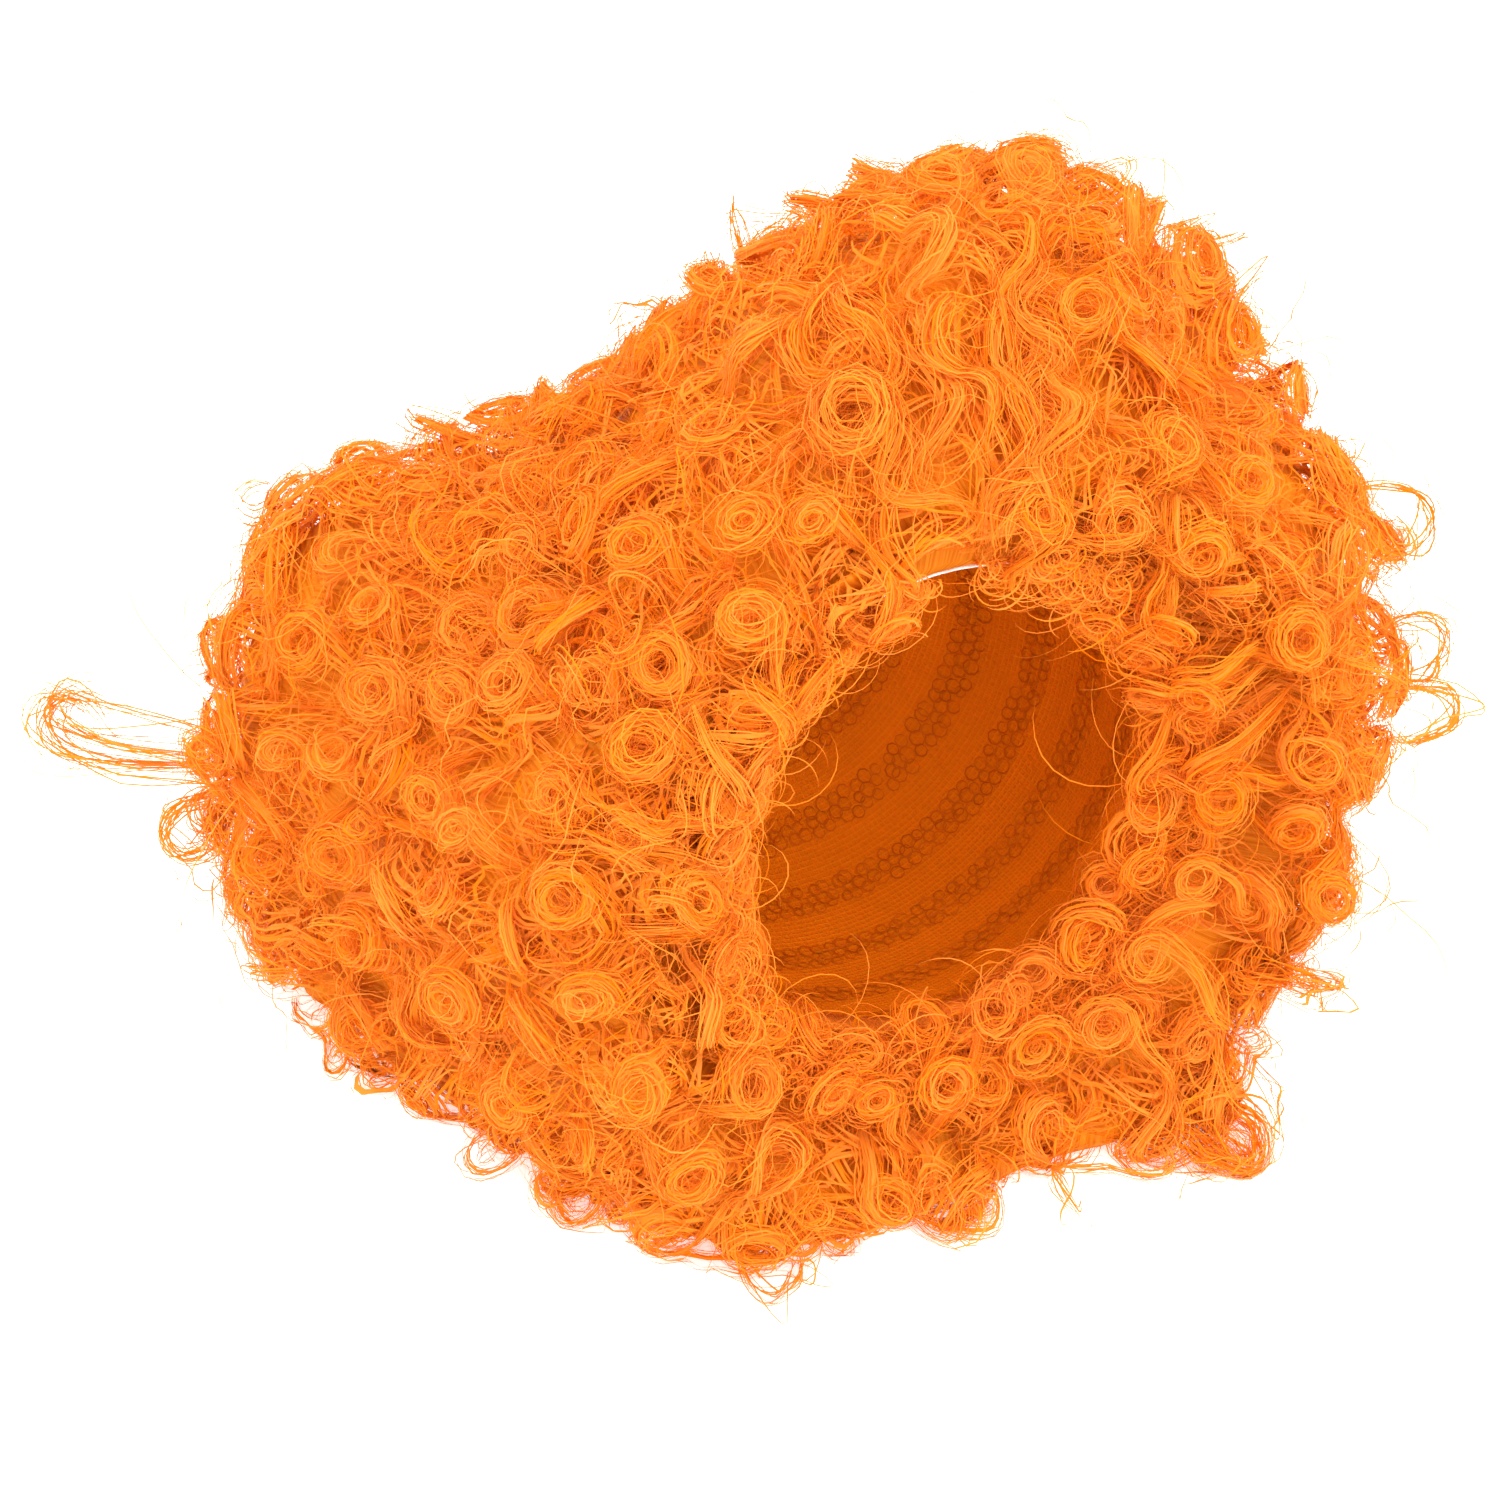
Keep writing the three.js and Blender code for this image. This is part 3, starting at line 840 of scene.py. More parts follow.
# Weft stitching: dyed sewing thread, a little darker than the net, whose tone differs from loop to loop
def weft_stitching():
    """Material of the stitches along the sewn tracks."""
    material, tree = new_material("weft_stitching")
    place = add_node(tree, "UVMap", {"uv_map": TEXTURE})
    parts = add_node(tree, "SeparateXYZ", None, {0: place[0]})
    colour = add_node(
        tree, "Mix", {"data_type": "RGBA", 6: linear("#CA6200"), 7: linear("#DE7200")},
        {0: parts["X"]},
    )
    shader = add_node(
        tree, "BsdfPrincipled", {"Roughness": 0.7, "IOR": FIBRE_IOR, "Specular IOR Level": 0.2},
        {"Base Color": colour[2]},
    )
    add_node(tree, "OutputMaterial", None, {"Surface": shader[0]})
    return material


# Woven elastic: white tape with fine ribs across it, painted orange along its back edge and where the
# hair lies on it, as painted shade and painted orange light thrown by the hair
def woven_elastic():
    """Material of the tape at the rim. Its u runs along the tape, and its v is how white it is."""
    material, tree = new_material("woven_elastic")
    place = add_node(tree, "UVMap", {"uv_map": TEXTURE})
    parts = add_node(tree, "SeparateXYZ", None, {0: place[0]})
    ribs = add_node(tree, "Math", {"operation": "MULTIPLY", 1: float(RIBS)}, {0: parts["X"]})
    rib = add_node(tree, "Math", {"operation": "PINGPONG", 1: 0.5}, {0: ribs[0]})
    # Orange for painted shade and painted light thrown by the hair, white where the tape is lit
    colour = add_node(
        tree, "Mix", {"data_type": "RGBA", 6: linear("#EE8420"), 7: linear("#FFF6F2")},
        {0: parts["Y"]},
    )
    relief = add_node(tree, "Bump", {"Strength": 0.8, "Distance": RIB_RELIEF * MM}, {"Height": rib[0]})
    shader = add_node(
        tree, "BsdfPrincipled", {"Roughness": 0.8, "IOR": FIBRE_IOR, "Specular IOR Level": 0.2},
        {"Base Color": colour[2], "Normal": relief[0]},
    )
    add_node(tree, "OutputMaterial", None, {"Surface": shader[0]})
    return material


def white_paper():
    """Material of the studio's floor: pale paper, which the lamps round it keep from going grey."""
    material, tree = new_material("white_paper")
    shader = add_node(tree, "BsdfPrincipled", {
        "Base Color": linear("#F4F3F1"), "Roughness": 0.9,
        "Emission Color": WHITE, "Emission Strength": PAPER_GLOW,
    })
    add_node(tree, "OutputMaterial", None, {"Surface": shader[0]})
    return material


def scatter(spacing, between, tries, taken=np.zeros((0, 3))):
    """Places and angles on the reach, no two of them closer than spacing, nor one to a taken point."""
    drawn = tries * SCATTER_SPARE
    places = rng.uniform(*between, drawn)
    angles = rng.uniform(0, TURN, drawn)
    slopes = hair_slopes(np.clip(places, PROBE, HAIR_END - PROBE), angles)
    area = np.linalg.norm(np.cross(*slopes), axis=-1)
    keep = rng.uniform(0, area.max(), drawn) < area
    places, angles = places[keep][:tries], angles[keep][:tries]
    points = reach(places, angles)
    held = np.concatenate([taken, np.zeros_like(points)])
    count = len(taken)
    kept = []
    for i, point in enumerate(points):
        if np.all(np.sum((held[:count] - point) ** 2, 1) > spacing ** 2):
            held[count] = point
            count += 1
            kept.append(i)
    return places[kept], angles[kept]


class Spot:
    """A place on the reach that a lock grows at."""

    def __init__(self, place, angle, depth):
        self.out, self.round, self.away = hair_axes(place, angle)
        self.bends = hair_bends(place, angle)
        self.middle = reach(place, angle) - self.out * depth
        self.stem = None  # where a curl's stem runs to, if not down into the hair

    def lay(self, flat, axis, first, second):
        """Points given along first, second and axis, laid over the curve of the reach."""
        step = flat[..., 0:1] * first + flat[..., 1:2] * second + flat[..., 2:3] * axis
        a = step @ self.round
        b = step @ self.away
        sag = 0.5 * (self.bends[0] * a * a + self.bends[1] * b * b)
        return self.middle + step - sag[..., None] * self.out


class Bunch:
    """Cross-section of a lock: a body of flat bands, and fine strands over it that face out of the lock."""

    def __init__(self, bands, strands):
        count = bands + strands
        fine = np.arange(count) >= bands

        def either(strand, band):
            return np.where(fine, rng.uniform(*strand, count), rng.uniform(*band, count))

        self.count = count
        self.roll = either(STRAND_ROLL, BAND_ROLL)
        outer = rng.uniform(*STRAND_DEPTH, count) ** STRAND_CROWD
        depth = np.where(fine, outer, rng.uniform(*BAND_DEPTH, count))
        self.across = (depth * np.sin(self.roll))[:, None]
        self.height = (depth * np.cos(self.roll))[:, None]
        self.width = either(STRAND_WIDTH, BAND_WIDTH)
        draw = rng.uniform(0, 1, count)
        drift = np.where(draw < STRAY_SHARE, STRAY, np.where(draw < LOOSE_SHARE, LOOSE, NEAT))
        self.loose = np.where(fine, drift, BAND_DRIFT)
        self.ends = rng.uniform(*STRAND_ENDS, (count, 1))
        tone = rng.uniform(*LOCK_TONE) + rng.normal(0, TONE_DIFFER, count)
        self.tone = np.clip(tone, *TONE_RANGE)


def either_way(count=None):
    """Signs at random, to curl to the left or to the right."""
    return rng.choice([-1, 1], count)


def wander(steps, size):
    """A slow drift of each strand of its own."""
    t = np.linspace(0, 1, steps + 1)
    drift = np.zeros((len(size), steps + 1, 3))
    for waves in DRIFT_WAVES:
        phase = rng.uniform(0, TURN, (len(size), 1, 3))
        swing = rng.normal(0, 1, (len(size), 1, 3)) * size[:, None, None] / waves
        drift += swing * np.sin(TURN * waves * t[None, :, None] + phase)
    return drift


def along_strands(bunch, steps):
    """Steps from 0 to 1 along each strand, set off from strand to strand so that no corners line up."""
    step = np.arange(steps + 1) + rng.uniform(*STRAND_OFFSET, (bunch.count, 1))
    step[:, 0] = 0
    step[:, -1] = steps
    return np.clip(step, 0, steps) / steps * bunch.ends


def leaning_axis(spot, lean):
    """Axis of a curl that leans from straight out to any side, by degrees between two values."""
    tilt = math.radians(rng.uniform(*lean))
    heading = rng.uniform(0, TURN)
    aside = spot.round * math.cos(heading) + spot.away * math.sin(heading)
    return spot.out * math.cos(tilt) + aside * math.sin(tilt)


def across_axis(spot, axis):
    """Two directions across a curl's axis, of which a stem runs back along the second one and down."""
    if spot.stem is not None:
        across = spot.stem + np.cross(axis, spot.stem) * rng.uniform(*STEM_ASIDE)
        first = unit(np.cross(axis, across))
        return first, np.cross(axis, first)
    spin = rng.uniform(0, TURN)
    across = spot.round * math.cos(spin) + spot.away * math.sin(spin)
    first = unit(np.cross(axis, across))
    second = np.cross(axis, first)
    if second @ spot.out < 0:
        first, second = -first, -second
    return first, second


def stem_and_curl(t, stem_part):
    """How far up the stem each step still has to go, from 1 to 0, and how far round the curl it is."""
    return np.clip(1 - t / stem_part, 0, 1), np.clip((t - stem_part) / (1 - stem_part), 0, 1)


def ringlet(spot, axis, bunch, outer, turns, root=RING_ROOT):
    """A lock that comes up as a stem and winds into an open ring of strands."""
    first, second = across_axis(spot, axis)
    q, c = stem_and_curl(along_strands(bunch, LOCK_STEPS), RING_STEM)
    stem = rng.uniform(16, 34)
    half_band = outer * rng.uniform(0.34, 0.46)
    thick = rng.uniform(2.5, 4.5)
    turned = TURN * turns * c * rng.uniform(0.95, 1.05, (bunch.count, 1))
    shrink = rng.uniform(0.1, 0.45)
    ring = (outer - half_band) * (1 - shrink * c) + half_band * bunch.across * (1 - 0.65 * q)
    wave = rng.uniform(2, 5) * np.sin(TURN * 0.8 * q + rng.uniform(0, TURN)) * q
    oval = rng.uniform(0.7, 1.0)
    slip = rng.normal(0, 0.08 * outer, (2, bunch.count, 1)) * c
    rise = rng.uniform(-3, 4)
    sink = rng.uniform(0.75, 1.25)
    x = ring * np.cos(turned) + wave + slip[0]
    y = ring * np.sin(turned) * oval - stem * q + slip[1]
    z = thick * bunch.height * (1 - 0.5 * q) + rise * c - sink * root * q ** ROOT_CURVE
    flat = np.stack([x, y, z], -1) + wander(LOCK_STEPS, bunch.loose)
    return spot.lay(flat, axis, first, second)


def teardrop(spot, axis, bunch, wide, long):
    """A lock that spreads from a pinched stem into a long loop and comes back to it."""
    first, second = across_axis(spot, axis)
    q, c = stem_and_curl(along_strands(bunch, LOCK_STEPS), DROP_STEM)
    stem = rng.uniform(10, 22)
    turned = TURN * rng.uniform(1.0, 1.45) * c
    scale = 0.8 + 0.25 * bunch.across
    open_part = np.sin(math.pi * np.clip(c * 1.2, 0, 1))
    sink = rng.uniform(8, 14)
    x = wide * np.sin(turned) * np.abs(np.sin(turned / 2)) ** 1.2 * scale
    y = long * (1 - np.cos(turned)) / 2 * scale - stem * q - long / 2
    z = 3.2 * bunch.height * (0.3 + 0.7 * open_part) + 3 * c - sink * q ** ROOT_CURVE
    flat = np.stack([x, y, z], -1) + wander(LOCK_STEPS, bunch.loose)
    return spot.lay(flat, axis, first, second)


def surface_walk(place, angle, heading, length, steps, bend):
    """Places and angles of lines that run over the reach, turning by bend as they go."""
    places = [place]
    angles = [angle]
    stride = length / steps
    for k in range(steps):
        slopes = hair_slopes(np.clip(places[-1], *WALK_PROBED), angles[-1])
        per_place, per_angle = (np.linalg.norm(slope, axis=-1) for slope in slopes)
        way = heading + bend(k / steps)
        forward = places[-1] + np.sin(way) * stride * 2 * PROBE / per_place
        angles.append(angles[-1] + np.cos(way) * stride * 2 * PROBE / np.maximum(per_angle, WALK_LEAST))
        places.append(np.clip(forward, *WALK_RANGE))
    return np.stack(places, -1), np.stack(angles, -1)


def wave_lock(bunch, place, angle, heading, length, waves, curl, steps, depth, width):
    """A lock that runs over the reach in waves, curls in at its end and tapers to its tip."""
    swing = rng.uniform(0.5, 1.0)
    phase = rng.uniform(0, TURN)
    places, angles = surface_walk(
        np.array(place), np.array(angle), heading, length, steps,
        lambda part: swing * math.sin(TURN * waves * part + phase) + curl * part ** 2,
    )
    line_out = hair_axes(places, angles)[0]
    line = reach(places, angles) - line_out * depth
    line_side = unit(np.cross(np.gradient(line, axis=0), line_out))
    t = along_strands(bunch, steps)
    out = unit(row_at(line_out, t * steps))
    side = unit(row_at(line_side, t * steps))
    spread = width * (0.35 + 0.65 * np.sin(math.pi * t ** 0.8)) * (1 - 0.5 * t)
    root = WAVE_ROOT * np.clip(1 - t / WAVE_STEM, 0, 1) ** ROOT_CURVE
    lift = bunch.height * 0.5 * spread - root
    paths = row_at(line, t * steps) + (bunch.across * spread)[..., None] * side + lift[..., None] * out
    return paths + wander(steps, bunch.loose * 1.2), out


def drawn_lock(bunch, points, spread, out, steps):
    """A lock along a line of points, whose strands part towards its tip."""
    t = along_strands(bunch, steps)
    rows = np.array(points, float)
    middle = row_at(rows, t * (len(rows) - 1))
    along = unit(np.gradient(middle, axis=1))
    side = unit(np.cross(along, out))
    above = np.cross(side, along)
    width = spread * (0.4 + 0.6 * t)
    paths = middle + (bunch.across * width)[..., None] * side
    paths = paths + (bunch.height * width * 0.6)[..., None] * above
    return paths + wander(steps, bunch.loose)


def weft_at(place):
    """The sewn row that the hair at a place belongs to."""
    return next(name for name, _, end in WEFTS if place <= end)


def swell(points):
    """Slow rise and fall of the hair, from -1 to 1, in lumps a few curls wide."""
    x, y, z = np.moveaxis(points / SWELL_MM, -1, 0)
    return np.sin(x + 1.3 * np.sin(y)) * np.sin(y + 0.9 * np.sin(z) + 1) * np.cos(z + x * 0.4)


def lies_on_floor(place, angle):
    """Whether the hair at a place is pressed on the floor, out of sight."""
    return height_of(place, angle) < LOCK_FLOOR


def on_forehead(place, angle):
    """Whether a place is in the strip where long waves fall over the rim."""
    return FOREHEAD[0] < place < FOREHEAD[1] and angle_between(angle, LIP_TOP) < FOREHEAD_HALF


def outwards(angle):
    """Straight away from the cap's axis."""
    return np.array((math.cos(angle), math.sin(angle), 0))


def overhang(angle):
    """How far the hair hangs over the rim, from 0 to 1."""
    return 0.5 + 0.5 * np.cos(angle - LIP_FULLEST)


# Strands of each piece, and the curls that show best from the front
strands_of = {name: [] for name, _, _ in WEFTS}
strands_of[FRINGE] = []
seen_place, seen_angle, seen_outer = np.array(SEEN_CURLS).T
seen_angle = np.radians(seen_angle)
seen_middle = reach(seen_place, seen_angle)


def add_lock(name, bunch, paths, facing):
    """Keeps a lock for the piece that it belongs to."""
    facing = np.broadcast_to(facing, paths.shape)
    strands_of[name].append((paths, facing, bunch.width, bunch.tone, bunch.roll))


def add_curl(name, shape, spot, bunch, kind):
    """Adds a curl of a shape, whose lean, width and turns or length are drawn from its kind."""
    lean, wide, long = kind
    axis = leaning_axis(spot, lean)
    paths = shape(spot, axis, bunch, rng.uniform(*wide), rng.uniform(*long))
    add_lock(name, bunch, paths, axis)


def add_hairs(name, paths, facing, thick=1):
    """Keeps single hairs, apart from those that would reach below the floor."""
    clear = to_part(paths)[..., 2].min(1) > HAIR_CLEAR
    count = int(clear.sum())
    width = rng.uniform(*HAIR_WIDTH, count) * thick
    tone = rng.uniform(*TONE_RANGE, count)
    roll = rng.uniform(*HAIR_ROLL, count)
    facing = np.broadcast_to(facing, paths.shape)[clear]
    strands_of[name].append((paths[clear], facing, width, tone, roll))


def curly_hairs(start, first, second, length, heading, curl, steps):
    """Single hairs that leave their starts in the plane of two directions and curl as they go."""
    part = np.arange(steps) / steps
    way = heading[:, None] + curl[:, None] * part
    stride = (length / steps)[:, None, None]
    moves = stride * (np.cos(way)[..., None] * first[:, None] + np.sin(way)[..., None] * second[:, None])
    return start[:, None] + np.concatenate([np.zeros((len(start), 1, 3)), np.cumsum(moves, 1)], 1)


def standing_hairs(name, places, angles, depth, length, heading, curl, steps):
    """Single hairs that leave the reach to any side and bend back to it."""
    count = len(places)
    out, round_way, away = hair_axes(places, angles)
    spin = rng.uniform(0, TURN, (count, 1))
    along = round_way * np.cos(spin) + away * np.sin(spin)
    paths = curly_hairs(
        reach(places, angles) - out * depth, along, out, rng.uniform(*length, count),
        rng.uniform(*heading, count), rng.uniform(*curl, count), steps,
    )
    add_hairs(name, paths, np.cross(along, out)[:, None])


def undercoat(name, places, angles, depths):
    """Short bent bunches that cover the dense hair, a few of them side by side in each group."""
    groups = len(places) // UNDER_GROUP
    count = groups * UNDER_GROUP

    def shared(values, differ):
        return np.repeat(values, UNDER_GROUP) + rng.normal(0, differ, count)

    bend = shared(rng.uniform(*UNDER_BEND, groups) * either_way(groups), 0.25)
    length = shared(rng.uniform(*UNDER_LENGTH, groups), 4)
    heading = shared(rng.uniform(0, TURN, groups), 0.12)
    walk = surface_walk(
        shared(places[:groups], UNDER_APART / ROW_MM), shared(angles[:groups], UNDER_APART / GIRTH_MM),
        heading, length, UNDER_STEPS, lambda part: bend * part,
    )
    out = hair_axes(*walk)[0]
    t = np.linspace(0, 1, UNDER_STEPS + 1)
    ends = UNDER_ENDS * np.abs(2 * t - 1) ** 2
    depth = shared(rng.uniform(*depths, groups), 0.7)[:, None] + ends
    paths = reach(*walk) - out * depth[..., None]
    width = rng.uniform(*UNDER_WIDTH, count)
    tone = np.clip(shared(rng.uniform(*UNDER_TONE, groups), 0.04), *TONE_RANGE)
    roll = rng.uniform(*UNDER_ROLL, count)
    clear = to_part(paths)[..., 2].min(1) > 0
    strands_of[name].append(tuple(values[clear] for values in (paths, out, width, tone, roll)))


def grow_undercoat():
    """Undercoat over the whole reach, and more of it where the hair meets the floor."""
    start = HAIR_START
    for name, _, end in WEFTS:
        end = min(end, UNDER_END)
        count = UNDER_COUNT + UNDER_FRONT * (start < FRONT_END)
        undercoat(name, rng.uniform(start, end, count), rng.uniform(0, TURN, count), UNDER_DEPTH)
        places = rng.uniform(start, end, UNDER_TRIES)
        angles = rng.uniform(0, TURN, UNDER_TRIES)
        low = np.abs(height_of(places, angles) - UNDER_HEIGHT) < UNDER_HEIGHT
        undercoat(name, places[low][:UNDER_LOW], angles[low][:UNDER_LOW], UNDER_LOW_DEPTH)
        start = end


def grow_seen_curls():
    """Curls that show best from the front."""
    for place, angle, outer in zip(seen_place, seen_angle, seen_outer):
        spot = Spot(place, angle, rng.uniform(*SEEN_DEPTH))
        if place < LIP_END:
            spot.stem = outwards(angle)
        axis = unit(spot.out * (1 - SEEN_TURN) + to_cap(back) * SEEN_TURN)
        bunch = Bunch(LOCK_BANDS, SEEN_STRANDS)
        paths = ringlet(spot, axis, bunch, outer, rng.uniform(*SEEN_TURNS))
        add_lock(weft_at(place), bunch, paths, axis)


def grow_curls(places, angles):
    """Curls all over the reach: open rings, long drops and small rings on their side."""
    for place, angle in zip(places, angles):
        if lies_on_floor(place, angle) or on_forehead(place, angle) and rng.uniform() < FOREHEAD_BARE:
            continue
        depth = rng.uniform(*CURL_DEPTH) - SWELL_RISE * swell(reach(place, angle))
        spot = Spot(place, angle, depth)
        hidden = place > BACK_START or (TO_PART @ spot.out)[2] < UNDERSIDE
        bunch = Bunch(LOCK_BANDS, LOCK_STRANDS - HIDDEN_LESS * hidden)
        name = weft_at(place)
        draw = rng.uniform()
        if draw < RING_SHARE:
            add_curl(name, ringlet, spot, bunch, RING)
        elif draw < RING_SHARE + DROP_SHARE:
            add_curl(name, teardrop, spot, bunch, DROP)
        else:
            axis = leaning_axis(spot, SIDE_LEAN)
            paths = ringlet(spot, axis, bunch, rng.uniform(*SIDE_OUTER), SIDE_TURNS)
            add_lock(name, bunch, paths, axis)


def grow_lip_curls():
    """Small curls along the lip, apart from where long waves fall over it."""
    for place, spacing in LIP_CURLS:
        for degrees in np.arange(0, 360, spacing):
            angle = math.radians(degrees + rng.uniform(*LIP_ASIDE) * spacing)
            inner = rng.uniform(*LIP_INNER) - LIP_HANG * overhang(angle)
            middle = reach(place, angle) * (inner, inner, 1) + (0, 0, rng.uniform(*LIP_RISE))
            close = np.linalg.norm(seen_middle - middle, axis=1).min() < LIP_CLEAR
            if close or angle_between(angle, LIP_TOP) < FOREHEAD_HALF:
                continue
            spot = Spot(LIP_END, angle, 0)
            spot.middle = middle
            spot.stem = outwards(angle)
            add_curl(FRINGE, ringlet, spot, Bunch(*LIP_BUNCH), LIP_RING)


def grow_forehead_waves():
    """Long waves that fall over the forehead."""
    for _ in range(FALL_COUNT):
        bunch = Bunch(*FALL_BUNCH)
        place = rng.uniform(*FALL_PLACE)
        angle = math.radians(rng.uniform(*FALL_ANGLE))
        heading = -math.pi / 2 + rng.uniform(*FALL_ASIDE)
        length = rng.uniform(*FALL_LENGTH)
        waves = length / rng.uniform(*FALL_WAVE)
        paths, facing = wave_lock(
            bunch, place, angle, heading, length, waves, rng.uniform(*FALL_CURL), FALL_STEPS,
            rng.uniform(*FALL_DEPTH), rng.uniform(*WAVE_WIDTH),
        )
        add_lock(weft_at(place), bunch, paths, facing)


def grow_loose_locks():
    """Loose locks that stand clear of the rest."""
    facing = to_cap(back)
    for name, strands, spread, points in LOOSE_LOCKS:
        bunch = Bunch(0, strands)
        bunch.width = bunch.width * LOOSE_WIDE
        bunch.loose = bunch.loose * LOOSE_DRIFT
        add_lock(name, bunch, drawn_lock(bunch, points, spread, facing, LOOSE_STEPS), facing)


def grow_floor_curls():
    """Curls that lie on the floor round the edge of the hair."""
    level = to_cap((0, 0, 1))
    places, angles = scatter(FLOOR_SPACING, FLOOR_RANGE, SCATTER_TRIES)
    for place, angle, high in zip(places, angles, height_of(places, angles)):
        if abs(high) > FLOOR_NEAR:
            continue
        spot = Spot(place, angle, 0)
        aside = unit(spot.out - (spot.out @ level) * level)
        spot.middle = spot.middle + aside * rng.uniform(*FLOOR_ASIDE)
        spot.middle = spot.middle + level * (rng.uniform(*FLOOR_RISE) - high)
        bunch = Bunch(*FLOOR_BUNCH)
        axis = unit(level + 0.5 * aside + 0.3 * rng.normal(0, 1, 3))
        paths = ringlet(
            spot, axis, bunch, rng.uniform(*FLOOR_OUTER), rng.uniform(*FLOOR_TURNS), FLOOR_ROOT
        )
        add_lock(weft_at(place), bunch, paths, axis)


def grow_thin_curls():
    """Thin curls that stand off the rest, more of them low down."""
    places, angles = scatter(THIN_SPACING, THIN_RANGE, THIN_TRIES)
    for place, angle, high in zip(places, angles, height_of(places, angles)):
        if high < THIN_LOWEST or rng.uniform() > (THIN_SHARE_LOW if high < THIN_LOW else THIN_SHARE):
            continue
        spot = Spot(place, angle, rng.uniform(*THIN_DEPTH))
        add_curl(weft_at(place), ringlet, spot, Bunch(0, THIN_STRANDS), THIN_RING)


def grow_waves():
    """Wavy locks between and below the curls, most of them above the forehead."""
    places, angles = scatter(WAVE_SPACING, WAVE_RANGE, SCATTER_TRIES)
    for place, angle in zip(places, angles):
        above = WAVE_TOP[0] < place < WAVE_TOP[1] and angle_between(angle, LIP_TOP) < WAVE_TOP_HALF
        share = WAVE_SHARE_TOP if above else WAVE_SHARE_LIP if place < WAVE_LIP_END else WAVE_SHARE
        if lies_on_floor(place, angle) or on_forehead(place, angle) or rng.uniform() > share:
            continue
        bunch = Bunch(*WAVE_BUNCH)
        length = rng.uniform(*WAVE_LENGTH)
        paths, facing = wave_lock(
            bunch, place, angle, rng.uniform(0, TURN), length, rng.uniform(*WAVES),
            rng.uniform(*WAVE_CURL) * either_way(), WAVE_STEPS,
            rng.uniform(*WAVE_DEPTH), rng.uniform(*WAVE_WIDTH),
        )
        add_lock(weft_at(place), bunch, paths, facing)


def grow_single_hairs():
    """Single hairs: some lie over the locks, and some stand off them in loops."""
    start = HAIR_START
    for name, _, end in WEFTS:
        end = min(end, SINGLE_END)
        count = LYING_COUNT
        places = rng.uniform(start, end, count)
        angles = rng.uniform(0, TURN, count)
        curl = rng.uniform(*LYING_CURL, count) * either_way(count)
        length = rng.uniform(*LYING_LENGTH, count)
        heading = rng.uniform(0, TURN, count)
        walk = surface_walk(places, angles, heading, length, LYING_STEPS, lambda part: curl * part)
        out = hair_axes(*walk)[0]
        t = np.linspace(0, 1, LYING_STEPS + 1)
        top = rng.uniform(*LYING_RISE, (count, 1))
        arch = np.sin(math.pi * t[None, :] * rng.uniform(*LYING_ARCH, (count, 1)))
        rise = top * arch - LYING_ROOT
        add_hairs(name, reach(*walk) + out * rise[..., None], out)
        places = rng.uniform(start, end, STANDING_COUNT)
        angles = rng.uniform(0, TURN, STANDING_COUNT)
        standing_hairs(name, places, angles, *STANDING)
        start = end


def grow_rim_hairs():
    """Hair that hangs over the rim into the opening: short curls close together, then long single hairs."""
    for count, length, curl, thick in RIM_HAIRS:
        tries = RIM_TRIES * count
        angles = rng.uniform(0, TURN, tries)
        fuller = RIM_LEAST + angle_between(angles, LIP_TOP)
        angles = angles[rng.uniform(0, RIM_MOST, tries) < fuller][:count]
        count = len(angles)
        hang = overhang(angles)
        starts = reach(rng.uniform(*RIM_START, count) + RIM_BACK * (1 - hang), angles)
        inward = -unit(starts * (1, 1, 0))
        drop = np.outer(rng.uniform(*RIM_DROP, count), AXIS)
        paths = curly_hairs(
            starts, unit(inward + drop), np.cross(inward, AXIS),
            rng.uniform(*length, count) * (0.6 + 0.4 * hang),
            rng.normal(0, RIM_ASIDE, count), rng.uniform(*curl, count) * either_way(count), RIM_STEPS,
        )
        add_hairs(FRINGE, paths, AXIS, thick)


def grow_throat_hairs():
    """Short hair over the throat between the lip and the elastic."""
    count = THROAT_HAIRS
    angles = rng.uniform(0, TURN, count)
    starts = reach(rng.uniform(*THROAT_START, count), angles)
    inward = -unit(starts * (1, 1, 0))
    paths = curly_hairs(
        starts, unit(THROAT_INWARD * inward - AXIS), np.cross(inward, AXIS),
        rng.uniform(*THROAT_LENGTH, count), rng.normal(0, THROAT_ASIDE, count),
        rng.uniform(*THROAT_CURL, count) * either_way(count), THROAT_STEPS,
    )
    add_hairs(FRINGE, paths, inward[:, None], THROAT_THICK)


def grow_wisps():
    """Fine wisps at the outline."""
    for low, high, start, end, count in WISPS:
        places = rng.uniform(low, high, count)
        angles = np.radians(rng.uniform(start, end, count))
        standing_hairs(weft_at((low + high) / 2), places, angles, *WISP)


# All the hair, in an order that the random draws depend on
grow_undercoat()
grow_seen_curls()
curl_place, curl_angle = scatter(LOCK_SPACING, LOCK_RANGE, SCATTER_TRIES, seen_middle)
dome_middle = np.concatenate([seen_middle, reach(curl_place, curl_angle)])
dome_out = np.concatenate([hair_axes(seen_place, seen_angle)[0], hair_axes(curl_place, curl_angle)[0]])
grow_curls(curl_place, curl_angle)
grow_lip_curls()
grow_forehead_waves()
grow_loose_locks()
grow_floor_curls()
grow_thin_curls()
grow_waves()
grow_single_hairs()
grow_rim_hairs()
grow_throat_hairs()
grow_wisps()


def hides_band(paths):
    """Strands that would hide the elastic where the hair parts over it, as seen from the front."""
    step = to_part(paths) - to_part(np.array(PARTING))
    across = step @ np.array(right) / PARTING_HALF[0]
    upward = step @ np.array(up) / PARTING_HALF[1]
    near = step @ np.array(back) > -PARTING_DEEP
    return (near & (across ** 2 + upward ** 2 < 1)).any(1)


